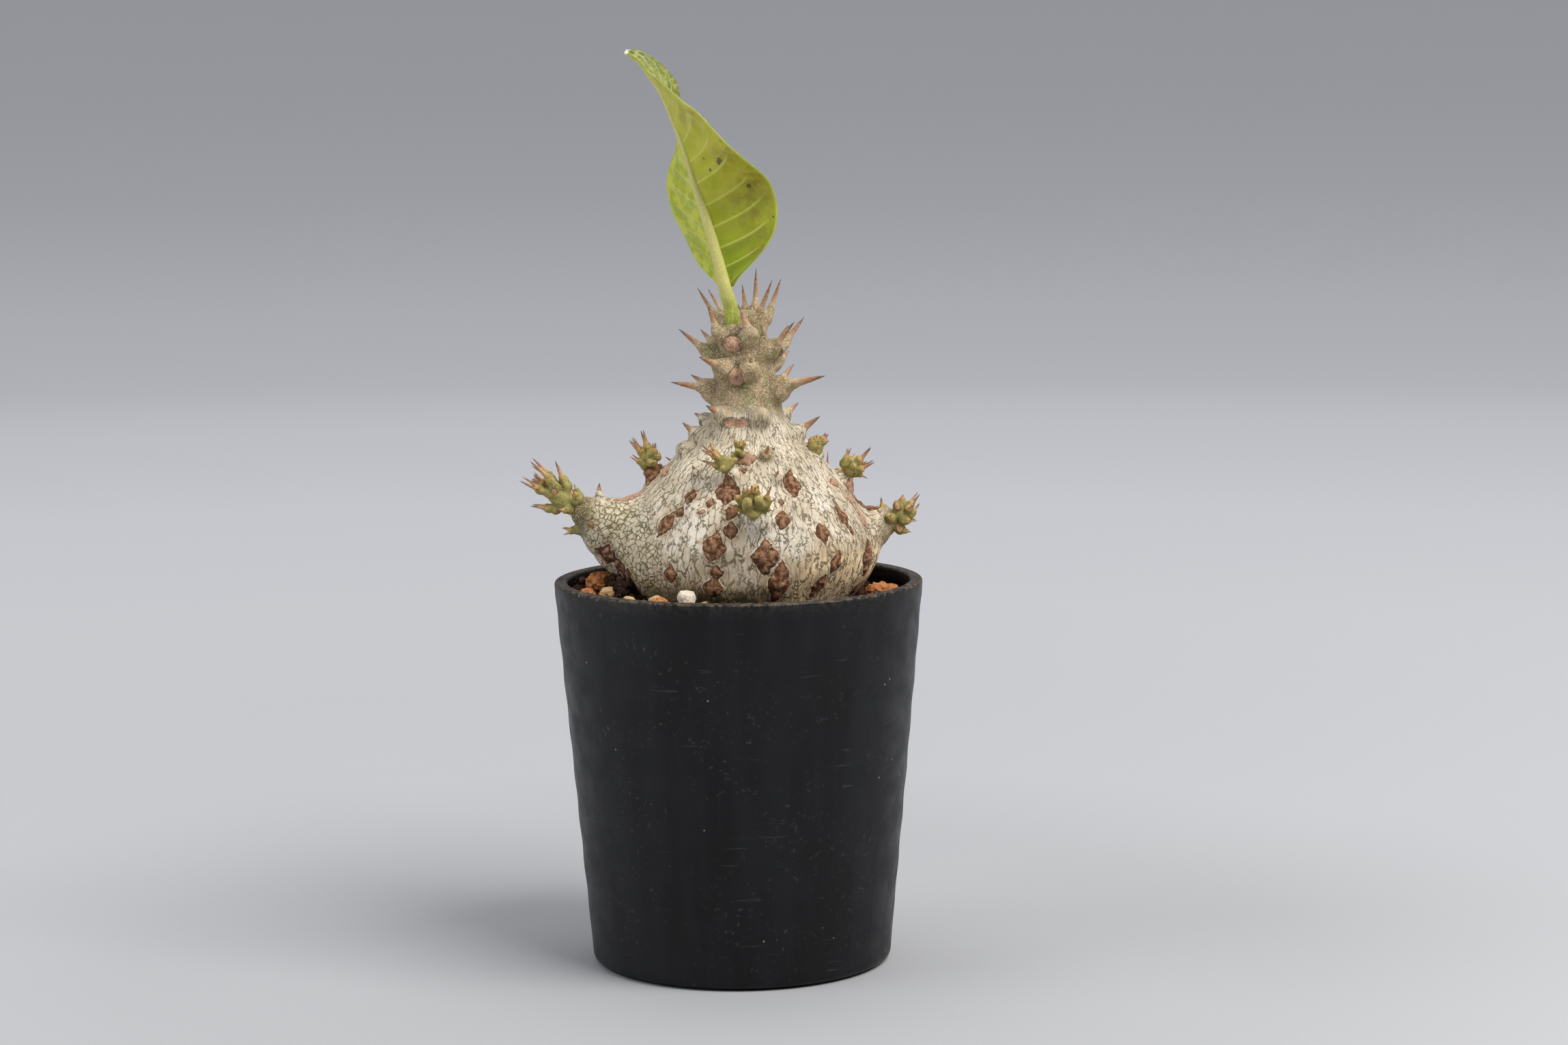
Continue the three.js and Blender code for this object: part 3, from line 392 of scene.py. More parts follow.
def bell(x, width):
    return np.exp(-((x / width) ** 2))


def between(points, x):
    """The value at x on straight lines through points given as [value, x]."""
    table = np.asarray(points, float)
    return np.interp(x, table[:, 1], table[:, 0])


def spline(points, count):
    """Points on a smooth line through the given points."""
    p = np.asarray(points, float)
    p = np.vstack([2 * p[0] - p[1], p, 2 * p[-1] - p[-2]])
    s = np.linspace(0, len(p) - 3, count)
    i = np.minimum(s.astype(int), len(p) - 4)
    t = (s - i)[:, None]
    a, b, c, d = p[i], p[i + 1], p[i + 2], p[i + 3]
    return 0.5 * (
        2 * b + (c - a) * t + (2 * a - 5 * b + 4 * c - d) * t**2 + (3 * b - a - 3 * c + d) * t**3
    )


def even_spline(points, count):
    """As spline, but with the points at even distances along it."""
    fine = spline(points, 600)
    along = np.r_[0, np.cumsum(np.linalg.norm(np.diff(fine, axis=0), axis=1))]
    want = np.linspace(0, along[-1], count)
    return np.stack([np.interp(want, along, fine[:, k]) for k in range(fine.shape[1])], 1)


random_gradients = unit(np.random.default_rng(3).normal(size=(256, 3)))


def noise(points, size, seed=0):
    """Smooth noise from about -1 to 1 whose lumps are about as large as size."""
    p = np.asarray(points, float) / size + 31.7 * (seed + 1)
    cell = np.floor(p).astype(np.int64)
    f = p - cell
    w = f**3 * (f * (6 * f - 15) + 10)
    total = np.zeros(len(p))
    for corner in itertools.product((0, 1), repeat=3):
        c = cell + corner
        h = (c[:, 0] * 73856093) ^ (c[:, 1] * 19349663) ^ (c[:, 2] * 83492791)
        h = ((h ^ (h >> 13)) * 1274126177) & 0xFFFFFFFF
        g = random_gradients[(h ^ (h >> 15)) & 255]
        share = np.prod(np.where(corner, w, 1 - w), axis=1)
        total += share * np.einsum("ij,ij->i", g, f - corner)
    return 1.7 * total


# Meshes


def make_mesh(name, vertices, faces, values=None, sharp=None):
    """A mesh object from vertices in millimetres, with a number for each vertex under each name."""
    mesh = bpy.data.meshes.new(name)
    placed = (np.asarray(vertices, float) + [AXIS_X, 0, 0]) * MM
    mesh.from_pydata(placed.tolist(), [], [f for group in faces for f in np.asarray(group).tolist()])
    mesh.update()
    mesh.polygons.foreach_set("use_smooth", np.ones(len(mesh.polygons), bool))
    for key, numbers in (values or {}).items():
        held = mesh.attributes.new(key, "FLOAT", "POINT")
        held.data.foreach_set("value", np.asarray(numbers, np.float32))
    if sharp:
        mesh.set_sharp_from_angle(angle=math.radians(sharp))
    made = bpy.data.objects.new(name, mesh)
    bpy.context.scene.collection.objects.link(made)
    return made


def dress(made, material, slot, *nodes):
    """Puts a piece on the part's body, in place of CAD nodes, with its material."""
    made.data.materials.clear()
    made.data.materials.append(material)
    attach(made, "root")
    if nodes:
        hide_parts(*nodes)
    return made


def joined(parts):
    """One (vertices, faces, values) from several."""
    vertices, faces, values, first = [], [], [], 0
    for v, groups, numbers in parts:
        vertices.append(v)
        faces += [np.asarray(g) + first for g in groups]
        values.append(numbers)
        first += len(v)
    keys = values[0].keys()
    return np.vstack(vertices), faces, {k: np.concatenate([n[k] for n in values]) for k in keys}


def ring_quads(rows, sides):
    """The quads between rings of vertices that follow each other."""
    i, j = np.meshgrid(np.arange(rows - 1), np.arange(sides), indexing="ij")
    k = (j + 1) % sides
    quads = np.stack([i * sides + j, i * sides + k, (i + 1) * sides + k, (i + 1) * sides + j], -1)
    return quads.reshape(-1, 4)


def turned(profile, sides):
    """Vertices and quads of a closed body turned from a profile of [radius, height] off its axis."""
    p = np.asarray(profile, float)
    a = np.arange(sides) * 2 * np.pi / sides
    ring = np.stack([np.sin(a), -np.cos(a)], 1)
    vertices = np.concatenate(
        [p[:, None, :1] * ring[None], np.repeat(p[:, 1:, None], sides, axis=1)], axis=2
    ).reshape(-1, 3)
    return vertices, ring_quads(len(p), sides)


def tube(path, radii, sides):
    """A round tube along a path, closed at both ends, and the share of the way along per vertex."""
    path = np.asarray(path, float)
    ahead = unit(np.gradient(path, axis=0))
    helper = np.array([0.31, 0.83, 0.46])
    across = unit(np.cross(ahead, helper))
    side = np.cross(ahead, across)
    a = np.arange(sides) * 2 * np.pi / sides
    ring = np.cos(a)[None, :, None] * across[:, None] + np.sin(a)[None, :, None] * side[:, None]
    vertices = (path[:, None] + np.asarray(radii)[:, None, None] * ring).reshape(-1, 3)
    quads = ring_quads(len(path), sides)[:, [0, 3, 2, 1]]
    last = len(vertices)
    vertices = np.vstack([vertices, path[:1], path[-1:]])
    around = np.arange(sides)
    after = (around + 1) % sides
    end = last - sides
    caps = [
        np.stack([np.full(sides, last), around, after], 1),
        np.stack([np.full(sides, last + 1), end + after, end + around], 1),
    ]
    along = np.r_[np.repeat(np.linspace(0, 1, len(path)), sides), 0, 1]
    return vertices, [quads, *caps], along


class Growth:
    """A smooth union of rounded bodies, held as distances on a grid of points."""

    def __init__(self, low, high, step):
        self.low, self.step = np.asarray(low, float), step
        count = np.ceil((np.asarray(high) - self.low) / step).astype(int) + 1
        self.far = np.full(count, 9, np.float32)

    def join(self, distance, low, high, blend):
        first = np.clip(np.floor((low - self.low) / self.step), 0, self.far.shape).astype(int)
        last = np.clip(np.ceil((high - self.low) / self.step) + 1, 0, self.far.shape).astype(int)
        if np.any(last <= first):
            return
        view = self.far[tuple(slice(f, t) for f, t in zip(first, last))]
        axes = [self.low[k] + self.step * np.arange(first[k], last[k]) for k in range(3)]
        new = distance(np.stack(np.meshgrid(*axes, indexing="ij"), -1).astype(np.float32))
        overlap = np.maximum(blend - np.abs(view - new), 0)
        view[...] = np.minimum(view, new) - overlap**2 / (4 * blend)

    def cone(self, a, b, ra, rb, blend):
        a, b = np.asarray(a, np.float32), np.asarray(b, np.float32)
        reach = max(ra, rb) + blend + self.step
        low, high = np.minimum(a, b) - reach, np.maximum(a, b) + reach
        self.join(lambda p: cone_distance(p, a, b, ra, rb), low, high, blend)

    def surface(self):
        """Vertices and quads of the surface where the distance is nought."""
        f = self.far
        inside = f < 0
        shape = np.array(f.shape) - 1
        corners = list(itertools.product((0, 1), repeat=3))
        cut = [inside[tuple(slice(c, c + n) for c, n in zip(k, shape))] for k in corners]
        count = sum(c.astype(np.int8) for c in cut)
        cells = np.argwhere((count > 0) & (count < 8))
        index = np.full(shape, -1)
        index[tuple(cells.T)] = np.arange(len(cells))
        total, number = np.zeros((len(cells), 3)), np.zeros(len(cells))
        for a in corners:
            for axis in range(3):
                if a[axis]:
                    continue
                b = tuple(c + (k == axis) for k, c in enumerate(a))
                fa = f[tuple((cells + a).T)]
                fb = f[tuple((cells + b).T)]
                cross = (fa < 0) != (fb < 0)
                t = fa[cross] / (fa[cross] - fb[cross])
                total[cross] += np.array(a) + t[:, None] * (np.array(b) - a)
                number[cross] += 1
        vertices = (cells + total / number[:, None]) * self.step + self.low
        quads = []
        for axis in range(3):
            u, v = (axis + 1) % 3, (axis + 2) % 3
            low = inside.take(range(shape[axis]), axis)
            high = inside.take(range(1, shape[axis] + 1), axis)
            at = np.argwhere(low != high)
            at = at[(at[:, u] > 0) & (at[:, v] > 0) & (at[:, u] < shape[u]) & (at[:, v] < shape[v])]
            du, dv = np.eye(3, dtype=int)[u], np.eye(3, dtype=int)[v]
            ring = [index[tuple((at - a).T)] for a in (0 * du, du, du + dv, dv)]
            faces = np.stack(ring, 1)
            out = low[tuple(at.T)]
            faces[~out] = faces[~out][:, ::-1]
            quads.append(faces[(faces >= 0).all(1)])
        return vertices, np.vstack(quads)


def cone_distance(points, a, b, ra, rb):
    """Distance to a rounded body between two points, from one radius to the other."""
    along = np.asarray(b) - a
    t = np.clip((points - a) @ along / max(along @ along, 1e-9), 0, 1)
    off = points - a - t[..., None] * along
    return np.sqrt((off * off).sum(-1)) - (ra + (rb - ra) * t)


def normals_of(vertices, quads):
    """The way out of the surface at each vertex."""
    p = vertices[quads]
    n = np.cross(p[:, 2] - p[:, 0], p[:, 3] - p[:, 1])
    total = np.zeros_like(vertices)
    for k in range(4):
        for axis in range(3):
            total[:, axis] += np.bincount(quads[:, k], n[:, axis], len(vertices))
    return unit(total)


class Mesh:
    """Sums over the edges of a surface of quads."""

    def __init__(self, vertices, quads):
        edges = np.vstack([quads[:, [k, (k + 1) % 4]] for k in range(4)])
        self.a, self.b = edges[:, 0], edges[:, 1]
        self.count = len(vertices)
        self.degree = np.maximum(np.bincount(self.a, minlength=self.count), 1)
        self.length = np.linalg.norm(vertices[self.a] - vertices[self.b], axis=1)

    def mean(self, numbers):
        return np.bincount(self.a, numbers[self.b], self.count) / self.degree

    def blurred(self, numbers, times):
        for _ in range(times):
            numbers = 0.5 * (numbers + self.mean(numbers))
        return numbers

    def hollow(self, vertices, normals, times):
        """How far the surface's neighbourhood stands above it, in millimetres."""
        around = np.stack([self.blurred(vertices[:, k], times) for k in range(3)], 1)
        return np.einsum("ij,ij->i", around - vertices, normals)


# Trunk


def lean(z):
    """How far right of the pot's axis the trunk's middle stands at a height."""
    return 0.8 + 1.3 * bell(z - 111, 15)


outline = np.vstack([spline(TRUNK, 400), [[2.6, 133.1], [0, TRUNK_TOP + 0.1]]])


def trunk_radius(z):
    return between(outline, z)


def lumps(a, z):
    """The trunk's waves, as a share of its radius."""
    waves = 0.018 * np.sin(3 * a + 0.21 * z) + 0.014 * np.sin(5 * a - 0.33 * z + 1)
    return smooth(z, 75, 83) * (waves + 0.008 * np.sin(11 * a))


def about_trunk(azimuth, z, distance):
    """A place at a distance from the trunk's middle."""
    out = heading(azimuth) * distance
    return np.array([lean(z) + out[0], out[1] * TRUNK_DEPTH, z])


def trunk_distance(points):
    x, y, z = points[..., 0] - lean(points[..., 2]), points[..., 1] / TRUNK_DEPTH, points[..., 2]
    radius = np.interp(z, outline[:, 1], outline[:, 0]) * (1 + lumps(np.arctan2(x, -y), z))
    radius = radius * (1 - 0.1 * smooth(z, 108, 114))
    slope = between(outline, z + 0.6) - between(outline, z - 0.6)
    side = (np.hypot(x, y) - radius) / np.sqrt(1 + np.minimum((slope / 1.2) ** 2, 4))
    return np.maximum(np.maximum(side, z - TRUNK_TOP), SHOWN_FROM - z).astype(np.float32)


def branch_distance(points, branch):
    line = spline(branch, 7)
    parts = [cone_distance(points, a[:3], b[:3], a[3], b[3]) for a, b in zip(line[:-1], line[1:])]
    return np.min(parts, axis=0)


def sprout_place(name):
    """Where a shoot leaves the bark."""
    azimuth, z = SPROUTS[name][:2]
    return about_trunk(azimuth, z, trunk_radius(z) + 1.2)


def all_stem_spines():
    h = HIDDEN_SPINES
    rows = [list(r) for r in STEM_SPINES]
    for i in range(h["count"]):
        share = i / (h["count"] - 1)
        azimuth = h["from"] + (i * GOLDEN_ANGLE) % (h["to"] - h["from"])
        z = h["bottom"] + (h["top"] - h["bottom"]) * share
        length = h["reach"] * (0.4 + 0.6 * share) * (0.6 if i % 2 else 1)
        rows.append([azimuth, z, trunk_radius(z) + 1.8, h["cushion"], length, 22 + 36 * share])
    return rows


def spine_mesh(root, start, tip, radius, bend=0.1):
    """A spine with its foot sunk to root, that leaves its cushion at start and curves to its tip."""
    root, start, tip = (np.asarray(v, float) for v in (root, start, tip))
    reach = np.linalg.norm(tip - start)
    middle = 0.5 * (start + tip) + unit(start - root) * reach * bend
    t = np.linspace(0, 1, 11)
    curve = spline([start, middle, tip], 11)
    path = np.vstack([root, curve])
    radii = radius * np.r_[1.1, 0.05 + 0.95 * (1 - t) ** 1.05]
    vertices, faces, _ = tube(path, radii, 9)
    return vertices, faces, {"along": np.r_[np.repeat(np.r_[0, t], 9), 0, 1]}


BARK_STEP = 0.385
BARK_BOX = np.array([[-35, -28, SHOWN_FROM - 1.2], [35, 28, 137]])
BRANCH_ROOM, BRANCH_BLEND = 16, 3.2
stem_spines = []
body = Growth(*BARK_BOX, BARK_STEP)
body.join(trunk_distance, *BARK_BOX, 0.5)
for branch in (LEFT_BRANCH, RIGHT_BRANCH):
    ends = np.array(branch)[:, :3]
    low, high = ends.min(0) - BRANCH_ROOM, ends.max(0) + BRANCH_ROOM
    body.join(lambda p: branch_distance(p, branch), low, high, BRANCH_BLEND)
for name, (_, _, aim, rise, _, radius) in SPROUTS.items():
    end, ahead = sprout_place(name), heading(aim, rise)
    body.cone(end - ahead * 2.4 * radius, end, 1.45 * radius, radius, 2)
for azimuth, z, distance, cushion, reach, rise, *aim in all_stem_spines():
    low = z - 1.8
    sunk = about_trunk(azimuth, low, max(trunk_radius(low) - cushion * 0.9, 0))
    top = about_trunk(azimuth, z, distance)
    tip = top + heading(aim[0] if aim else azimuth, rise) * reach
    thick = max(0.36 * cushion, 0.5)
    neck = top + 0.3 * (tip - top)
    body.cone(sunk, sunk + 0.6 * (top - sunk), cushion * 1.15, cushion * 0.95, 0.8)
    body.cone(sunk + 0.6 * (top - sunk), top, cushion * 0.95, cushion * 0.62, 0.6)
    body.cone(top, neck, cushion * 0.62, thick * 0.96, 0.4)
    stem_spines.append(spine_mesh(top, neck, tip, thick * 0.92))
body.cone(*STALK_COLLAR, 1.9, 1.6, 0.8)
for foot, top, tip, radius in NUBS:
    body.cone(foot, top, radius, 0.45 * radius, 0.8)
    stem_spines.append(spine_mesh(foot, top, tip, 0.38 * radius))
for x, y, z, width, tall in SCARS[:SEATED_SCARS]:
    body.cone([0.4 * x, 0.4 * y, z - 0.6], [0.8 * x, 0.8 * y, z], 0.62 * width, 0.5 * tall, 0.5)

bark_points, bark_quads = body.surface()
bark_mesh = Mesh(bark_points, bark_quads)

# Materials


def rgb(red, green, blue):
    """A colour given as sRGB from 0 to 255."""
    c = np.array([red, green, blue]) / 255
    c = np.where(c > 0.04045, ((c + 0.055) / 1.055) ** 2.4, c / 12.92)
    return (*c.tolist(), 1)


class Signal:
    """A number or a colour that runs through a material's nodes."""

    def __init__(self, look, socket):
        self.look, self.socket = look, socket

    def __mul__(self, other):
        return self.look.math("MULTIPLY", self, other)

    def __add__(self, other):
        return self.look.math("ADD", self, other)

    def __sub__(self, other):
        return self.look.math("SUBTRACT", self, other)

    def __rsub__(self, other):
        return self.look.math("SUBTRACT", float(other), self)

    def __abs__(self):
        return self.look.math("ABSOLUTE", self)

    def step(self, low, high, first=0.0, last=1.0):
        """Runs smoothly from first to last while this goes from low to high."""
        return self.look.node("MapRange", (self, low, high, first, last), interpolation_type="SMOOTHSTEP")

    def coated(self, *coats):
        """This colour under coats, each given as (colour, share) or (colour, share, blend)."""
        below = self
        for colour, share, *blend in coats:
            below = self.look.mix(share, below, colour, *blend)
        return below


class Look:
    """A node material. Sizes are in millimetres, and colours come from rgb."""

    def __init__(self, name):
        self.material = bpy.data.materials.new(name)
        self.material.use_nodes = True
        self.tree = self.material.node_tree
        self.shader = self.tree.nodes["Principled BSDF"]
        place = self.tree.nodes.new("ShaderNodeTexCoord").outputs["Object"]
        self.place = self.vector("SCALE", place, Scale=1000)

    def feed(self, socket, value):
        value = value.socket if isinstance(value, Signal) else value
        if isinstance(value, bpy.types.NodeSocket):
            self.tree.links.new(value, socket)
        else:
            socket.default_value = value

    def set(self, **values):
        for name, value in values.items():
            self.feed(self.shader.inputs[name.replace("_", " ")], value)

    def node(self, kind, inputs=(), output=0, named=None, **settings):
        """The output of a new node, from inputs in their order or by their names."""
        made = self.tree.nodes.new("ShaderNode" + kind)
        for key, value in settings.items():
            setattr(made, key, value)
        for socket, value in zip(made.inputs, inputs):
            self.feed(socket, value)
        for key, value in (named or {}).items():
            self.feed(made.inputs[key], value)
        return Signal(self, made.outputs[output])

    def math(self, operation, *inputs):
        return self.node("Math", inputs, operation=operation)

    def vector(self, operation, *inputs, **named):
        return self.node("VectorMath", inputs, named=named, operation=operation)

    def stretched(self, x, y, z, place=None):
        return self.vector("MULTIPLY", place or self.place, (x, y, z))

    def bent(self, place, size, *reach):
        """A place that wanders by noise of that size, by up to half the reach each way."""
        wander = self.node("TexNoise", output="Color", named={"Vector": self.place, "Scale": 1 / size})
        wander = self.vector("SUBTRACT", wander, (0.5, 0.5, 0.5))
        return self.vector("ADD", place, self.vector("MULTIPLY", wander, reach))

    def value(self, name, output="Fac"):
        """A number that the mesh holds for each vertex."""
        return self.node("Attribute", output=output, attribute_name=name)

    def noise(self, size, detail=3, rough=0.55, place=None, bend=0):
        named = {"Vector": place or self.place, "Scale": 1 / size, "Detail": detail}
        return self.node("TexNoise", named=named | {"Roughness": rough, "Distortion": bend})

    def cells(self, size, feature="F1", place=None):
        named = {"Vector": place or self.place, "Scale": 1 / size}
        return self.node("TexVoronoi", output="Distance", named=named, feature=feature)

    def mix(self, share, a, b, blend="MIX"):
        made = self.tree.nodes.new("ShaderNodeMix")
        made.data_type, made.blend_type = "RGBA", blend
        sockets = [made.inputs["Factor"]] + [s for s in made.inputs if s.type == "RGBA"]
        for socket, value in zip(sockets, (share, a, b)):
            self.feed(socket, value)
        return Signal(self, next(s for s in made.outputs if s.type == "RGBA"))

    def shades(self, x, *stops):
        """A colour that runs through stops given as (x, colour)."""
        made = self.tree.nodes.new("ShaderNodeValToRGB")
        ramp = made.color_ramp
        for place, colour in stops[1:-1]:
            ramp.elements.new(place).color = colour
        for end, (place, colour) in ((0, stops[0]), (-1, stops[-1])):
            ramp.elements[end].position = place
            ramp.elements[end].color = colour
        self.feed(made.inputs["Fac"], x)
        return Signal(self, made.outputs["Color"])

    def bump(self, height, distance, strength=1.0, under=None):
        """Relief of the given depth in millimetres, on top of another."""
        named = {"Strength": strength, "Distance": distance * MM, "Height": height}
        return self.node("Bump", named=named if under is None else named | {"Normal": under})


def bark_look():
    k = Look("bark_skin")
    grain = k.value("grain", "Vector")
    names = ("young", "tone", "patch", "hollow", "ochre", "green", "ridge", "foot_olive", "scar", "pit")
    young, tone, patch, hollow, ochre, green, ridge, foot_olive, scar, pit = (k.value(n) for n in names)

    # Old bark
    fibres = k.noise(0.42, 4, 0.62, place=k.stretched(1, 1, 0.4, grain))
    dark_fibre = fibres.step(0.4, 0.62)
    straw = k.mix(dark_fibre, rgb(208, 176, 130), rgb(152, 124, 82))
    # Paler straw where the straw is strongest, mostly low on the right of the foot: partly the straw's own
    # colour, partly painted light standing in for light from the right
    pale_straw_and_painted_light = k.mix(dark_fibre, rgb(255, 228, 184), rgb(224, 192, 146))
    straw = straw.coated((pale_straw_and_painted_light, ochre.step(0.72, 0.95)))
    bark = k.mix(k.noise(7, 2).step(0.35, 0.65), rgb(211, 199, 177), rgb(187, 173, 148)).coated(
        (rgb(158, 143, 114), fibres.step(0.5, 0.66, 0, 0.3)),
        (rgb(226, 217, 200), fibres.step(0.46, 0.34, 0, 0.4)),
        (rgb(230, 225, 215), k.noise(8, 3).step(0.49, 0.64) * k.noise(0.7, 4, 0.65).step(0.36, 0.6) * 0.6),
        (straw, ochre * k.noise(2.4, 4).step(0.3, 0.58, 0.55, 1)),
        (rgb(158, 126, 88), patch.step(1.5, 0.3, 0, 0.6) * k.noise(1.8, 4).step(0.4, 0.56)),
        (rgb(150, 134, 94), green * k.noise(2.2, 4).step(0.42, 0.62, 0, 0.55)),
    )

    # Downy flesh of the young stem and the branches' ends
    down = k.noise(0.34, 3, 0.75)
    flesh = k.mix(k.noise(2.4, 3).step(0.4, 0.62), rgb(167, 145, 112), rgb(138, 117, 84)).coated(
        (rgb(120, 122, 72), k.noise(3.5, 3).step(0.5, 0.62, 0, 0.65)),
        (rgb(84, 75, 30), green * 0.8),
        # Painted shade in the flesh's hollows and a painted highlight on its bulges
        (rgb(68, 58, 34), hollow.step(0.02, 0.24, 0, 0.9)),
        (rgb(216, 190, 154), hollow.step(-0.08, -0.36, 0, 0.8)),
        (rgb(222, 208, 180), down.step(0.52, 0.62, 0, 0.6)),
        (rgb(92, 78, 50), down.step(0.47, 0.38, 0, 0.55)),
    )

    # Cracks: lines along the growth on the trunk, and a net on the left branch
    wandering = k.bent(grain, 1.1, 1.4, 1.4, 0.16)
    lines = []
    for size, broken, shift in ((1.3, 0.38, 0), (0.95, 0.5, 40)):
        cells = k.cells(size, "DISTANCE_TO_EDGE", k.vector("ADD", wandering, (shift, shift, 0)))
        shown = k.noise(1.3, 2, place=k.vector("ADD", grain, (0, shift, 0)))
        lines.append(cells.step(0.03, 0.09, 1, 0) * shown.step(broken, broken + 0.1))
    net = k.cells(1.15, "DISTANCE_TO_EDGE", k.bent(k.place, 0.9, 0.9, 0.9, 0.9)).step(0.04, 0.12, 1, 0)
    net = net * k.noise(1.5).step(0.36, 0.44)
    lines = k.mix(green.step(0.15, 0.5), k.math("MAXIMUM", *lines), net)
    lines = lines * (1 - young.step(0.3, 0.9))
    crack = k.mix(k.noise(4).step(0.4, 0.6), rgb(92, 82, 60), rgb(116, 102, 76))

    # Corky patches with torn rims: painted shade and highlight on the cork's relief, a rim partly pale from
    # a painted highlight, and an edge line partly painted shadow
    cork = k.shades(
        k.noise(0.8, 5, 0.72, bend=0.5), (0.32, rgb(60, 38, 26)), (0.43, rgb(92, 61, 40)),
        (0.53, rgb(120, 82, 55)), (0.6, rgb(152, 109, 76)), (0.68, rgb(204, 166, 128)),
    ).coated(
        (rgb(206, 166, 140), tone.step(0.35, 0.02, 0, 0.7)),
        (rgb(70, 42, 36), tone.step(0.7, 1, 0, 0.75)),
        # Painted shade in the cork's dips and a painted highlight on its ridges
        (rgb(74, 48, 36), ridge.step(0.02, -0.4, 0, 0.75)),
        (rgb(190, 148, 114), ridge.step(0.05, 0.45, 0, 0.45)),
    )
    ragged = patch + (k.noise(0.7, 4, 0.65) - 0.5) * 0.9
    inside = ragged.step(-0.04, 0.03, 1, 0)

    # Leaf scars
    disc = k.mix(k.noise(0.45, 4, 0.7).step(0.4, 0.6), rgb(200, 164, 134), rgb(152, 114, 90))
    disc = disc.coated((rgb(84, 54, 40), pit * 0.9))

    colour = bark.coated(
        (flesh, young),
        (crack.coated((rgb(78, 76, 38), green)), lines * 0.88),
        # Dark olive low on the trunk, near the soil
        (rgb(66, 60, 30), foot_olive * k.noise(1.4, 4).step(0.3, 0.54)),
        # The torn rim's pale line, partly the pale torn skin and partly a painted highlight
        (rgb(236, 226, 206), abs(ragged - 0.2).step(0.04, 0.2, 0.6, 0) * k.noise(1.6).step(0.44, 0.56)),
        (cork, inside),
        # A dark line at the patch's edge, partly the cork's own dark edge and partly a painted shadow
        (rgb(84, 58, 42), abs(ragged - 0.02).step(0.02, 0.1, 0.3, 0)),
        (disc, (scar + k.noise(0.7) * 0.3).step(0.05, 0.25, 0.95, 0)),
        (rgb(72, 60, 44), abs(scar - 0.12).step(0.03, 0.24, 0.6, 0) * k.noise(0.9).step(0.38, 0.52)),
        # Painted shade: the whole bark darkened in its hollows
        (rgb(120, 108, 84), hollow.step(0.1, 0.6, 0, 0.4), "MULTIPLY"),
    )
    k.set(Base_Color=colour, Specular_IOR_Level=0.3)
    k.set(Roughness=inside.step(0, 1, 0.62, 0.86) + fibres.step(0.3, 0.7, -0.06, 0.08))
    relief = k.bump(lines, -0.12, 0.6, k.bump(fibres, 0.08, 0.5))
    relief = k.bump(inside * k.noise(0.45, 4, 0.7), 0.4, 0.8, relief)
    k.set(Normal=k.bump(young * down, 0.12, 0.7, relief))
    return k.material


def spine_look():
    k = Look("spine_skin")
    along = k.value("along")
    streak = k.noise(0.45, 3, 0.6)
    colour = k.shades(
        along, (0, rgb(178, 150, 114)), (0.2, rgb(164, 122, 88)), (0.5, rgb(136, 96, 72)),
        (0.76, rgb(98, 78, 68)), (1, rgb(60, 54, 52)),
    ).coated(
        (rgb(206, 172, 134), streak.step(0.44, 0.66, 0, 0.5)),
        (rgb(218, 208, 184), k.cells(0.3).step(0.1, 0.25, 1, 0) * along.step(0.05, 0.4, 1, 0) * 0.6),
    )
    k.set(Base_Color=colour, Roughness=streak.step(0.3, 0.7, 0.42, 0.6), Specular_IOR_Level=0.4)
    k.set(Normal=k.bump(k.noise(0.25, 3), 0.04, 0.5))
    return k.material


def shoot_look():
    k = Look("shoot_skin")
    hollow, tip, scar, base = (k.value(n) for n in ("hollow", "tip", "scar", "base"))
    down = k.noise(0.24, 3, 0.7)
    colour = k.mix(k.noise(1.4, 4, 0.6).step(0.38, 0.62), rgb(156, 144, 82), rgb(120, 113, 54)).coated(
        (k.mix(k.noise(1.2, 3), rgb(134, 123, 84), rgb(108, 102, 62)), base),
        (rgb(106, 118, 30), k.noise(0.8, 3).step(0.55, 0.66, 0, 0.5)),
        # Painted shade in the shoot's hollows and creases, and a painted highlight on its bulges
        (rgb(84, 76, 28), hollow.step(0.01, 0.12, 0, 0.8)),
        (rgb(54, 48, 26), hollow.step(0.08, 0.26, 0, 0.9)),
        (rgb(198, 182, 108), hollow.step(-0.04, -0.22, 0, 0.6)),
        (k.mix(k.noise(0.9, 3), rgb(208, 162, 100), rgb(166, 106, 60)), tip.step(0.25, 0.95, 0, 0.85)),
        (rgb(216, 206, 150), down.step(0.52, 0.66, 0, 0.45)),
        (rgb(78, 80, 34), down.step(0.46, 0.36, 0, 0.5)),
        (k.mix(k.noise(0.4, 3), rgb(216, 180, 138), rgb(186, 144, 104)), scar.step(-0.05, 0.08, 1, 0)),
        (rgb(120, 80, 44), abs(scar - 0.1).step(0.03, 0.16, 0.8, 0)),
    )
    k.set(Base_Color=colour, Roughness=k.noise(1).step(0.3, 0.7, 0.5, 0.68), Specular_IOR_Level=0.32)
    k.set(Subsurface_Weight=0.06, Subsurface_Scale=0.001)
    k.set(Normal=k.bump(down, 0.08, 0.6, k.bump(k.noise(0.5, 3), 0.15, 0.6)))
    return k.material


